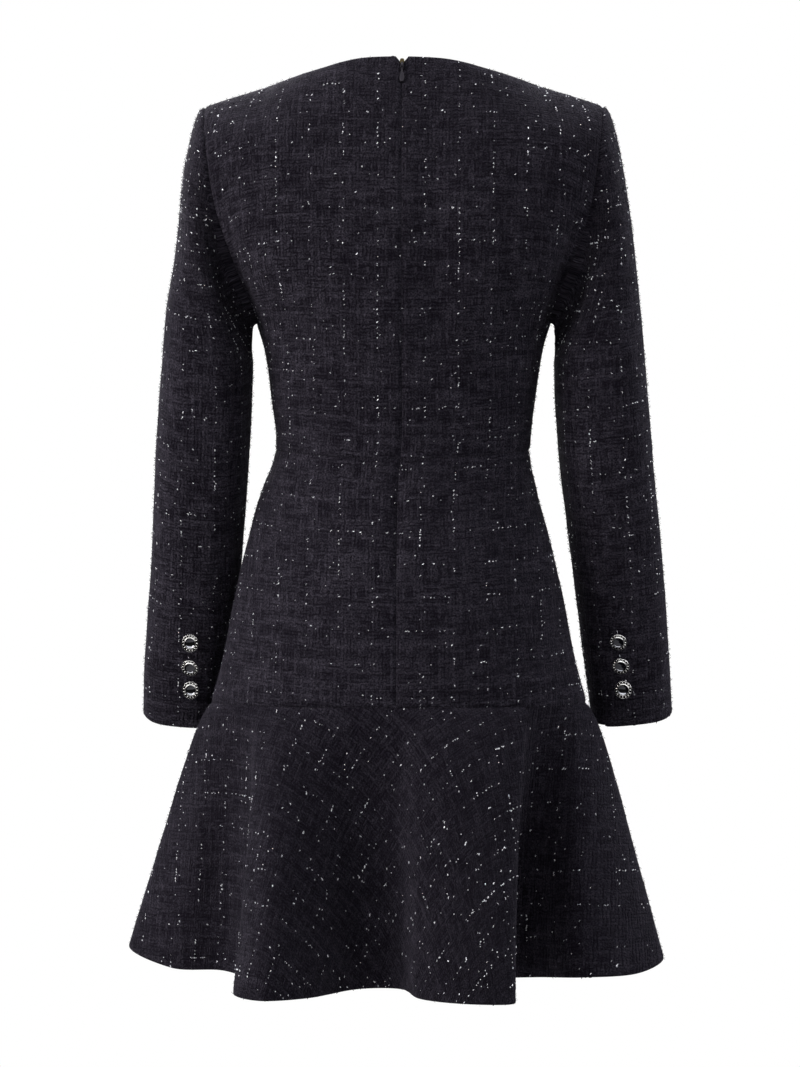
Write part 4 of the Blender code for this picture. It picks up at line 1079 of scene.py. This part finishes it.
coil_faces = np.where(side[:, None] < 0, tooth_faces[None] + shift, tooth_faces[None, :, ::-1] + shift)
coil = (teeth.reshape(-1, 3), coil_faces.reshape(-1, 4), 0)
hard_piece("zip_coil", [coil], [zip_nylon], "dress")

# The slider and its pull, built round the hinge: sideways, up along the back and out from it
hinge = np.array(frame["joints"][0]["pos_m"])
pull_points = node_points("zip_pull")
slope = np.linalg.svd(pull_points - pull_points.mean(axis=0))[2][-1]
slope = slope * np.sign(slope[1])
zip_axes = np.array([[1.0, 0.0, 0.0], [0.0, -slope[2], slope[1]], slope])


def lofted(rows, corner):
    """(points, faces) of a closed solid along the back: each row, from the bottom up, gives its height, half
    width, half thickness and lift. Its section is an ellipse for a corner of 1, and squarer for less."""
    turn = np.linspace(0, 2 * np.pi, 24, endpoint=False)
    wide, thick = (np.sign(wave) * np.abs(wave) ** corner for wave in (np.cos(turn), np.sin(turn)))
    up, half, deep, lift = rows.T[..., None]
    points, faces = skin(np.stack([half * wide, np.repeat(up, 24, axis=1), lift + deep * thick], axis=-1))
    return points @ zip_axes + hinge, faces


def zip_wire(along, up, out, radius):
    """(points, faces) of a wire along a path that is given from the hinge."""
    return tube(np.stack([along, up, out], axis=1) @ zip_axes + hinge, radius, 10)


slider_body = lofted(np.array([
    (-0.0044, 0.00001, 0.00001, -0.0022), (-0.0043, 0.0008, 0.0006, -0.0022),
    (-0.0036, 0.0012, 0.0009, -0.0021), (0.0030, 0.0013, 0.0009, -0.0021),
    (0.0042, 0.0010, 0.0008, -0.0022), (0.0043, 0.00001, 0.00001, -0.0022),
]), 0.5)
slider_head = lofted(np.array([
    (0.0024, 0.00001, 0.00001, -0.0030), (0.0026, 0.0016, 0.0006, -0.0030), (0.0040, 0.0021, 0.0009, -0.0030),
    (0.0066, 0.0021, 0.0009, -0.0030), (0.0078, 0.0016, 0.0008, -0.0030), (0.0082, 0.0008, 0.0005, -0.0030),
    (0.0083, 0.00001, 0.00001, -0.0030),
]), 0.6)
arch = np.linspace(-0.5, 0.5, 15) * np.pi
bridge = zip_wire(0 * arch, 0.0021 * np.sin(arch), 0.0021 * np.cos(arch) - 0.0013, 0.00034)
slider = [(*slider_body, 0), (*bridge, 0), (*slider_head, 1)]
hard_piece("lacquered_zip_slider", slider, [zip_black, zip_worn], "dress", "zip_slider")

# The tab widens from its neck and is rounded off at the end like a drop.
drop = np.linspace(1, 0, 25)
half = 0.0006 + 0.0018 * smooth_step((drop - 0.06) / 0.64)
half = half * np.sqrt(np.clip(1 - (np.maximum(drop - 0.64, 0) / 0.36) ** 2, 2e-5, 1))
half[-1] = 0.00001
tab = lofted(np.stack([-0.0026 - 0.0150 * drop, half, np.minimum(0.0010, half), 0 * drop], axis=1), 1.0)
ring = np.linspace(0.0, 2 * np.pi, 29)
eye = zip_wire(0.00135 * np.sin(ring), 0.00135 * np.cos(ring) - 0.00135, 0 * ring, 0.00036)
hard_piece("lacquered_zip_pull", [(*tab, 0), (*eye, 0)], [zip_black], "pull", "zip_pull")
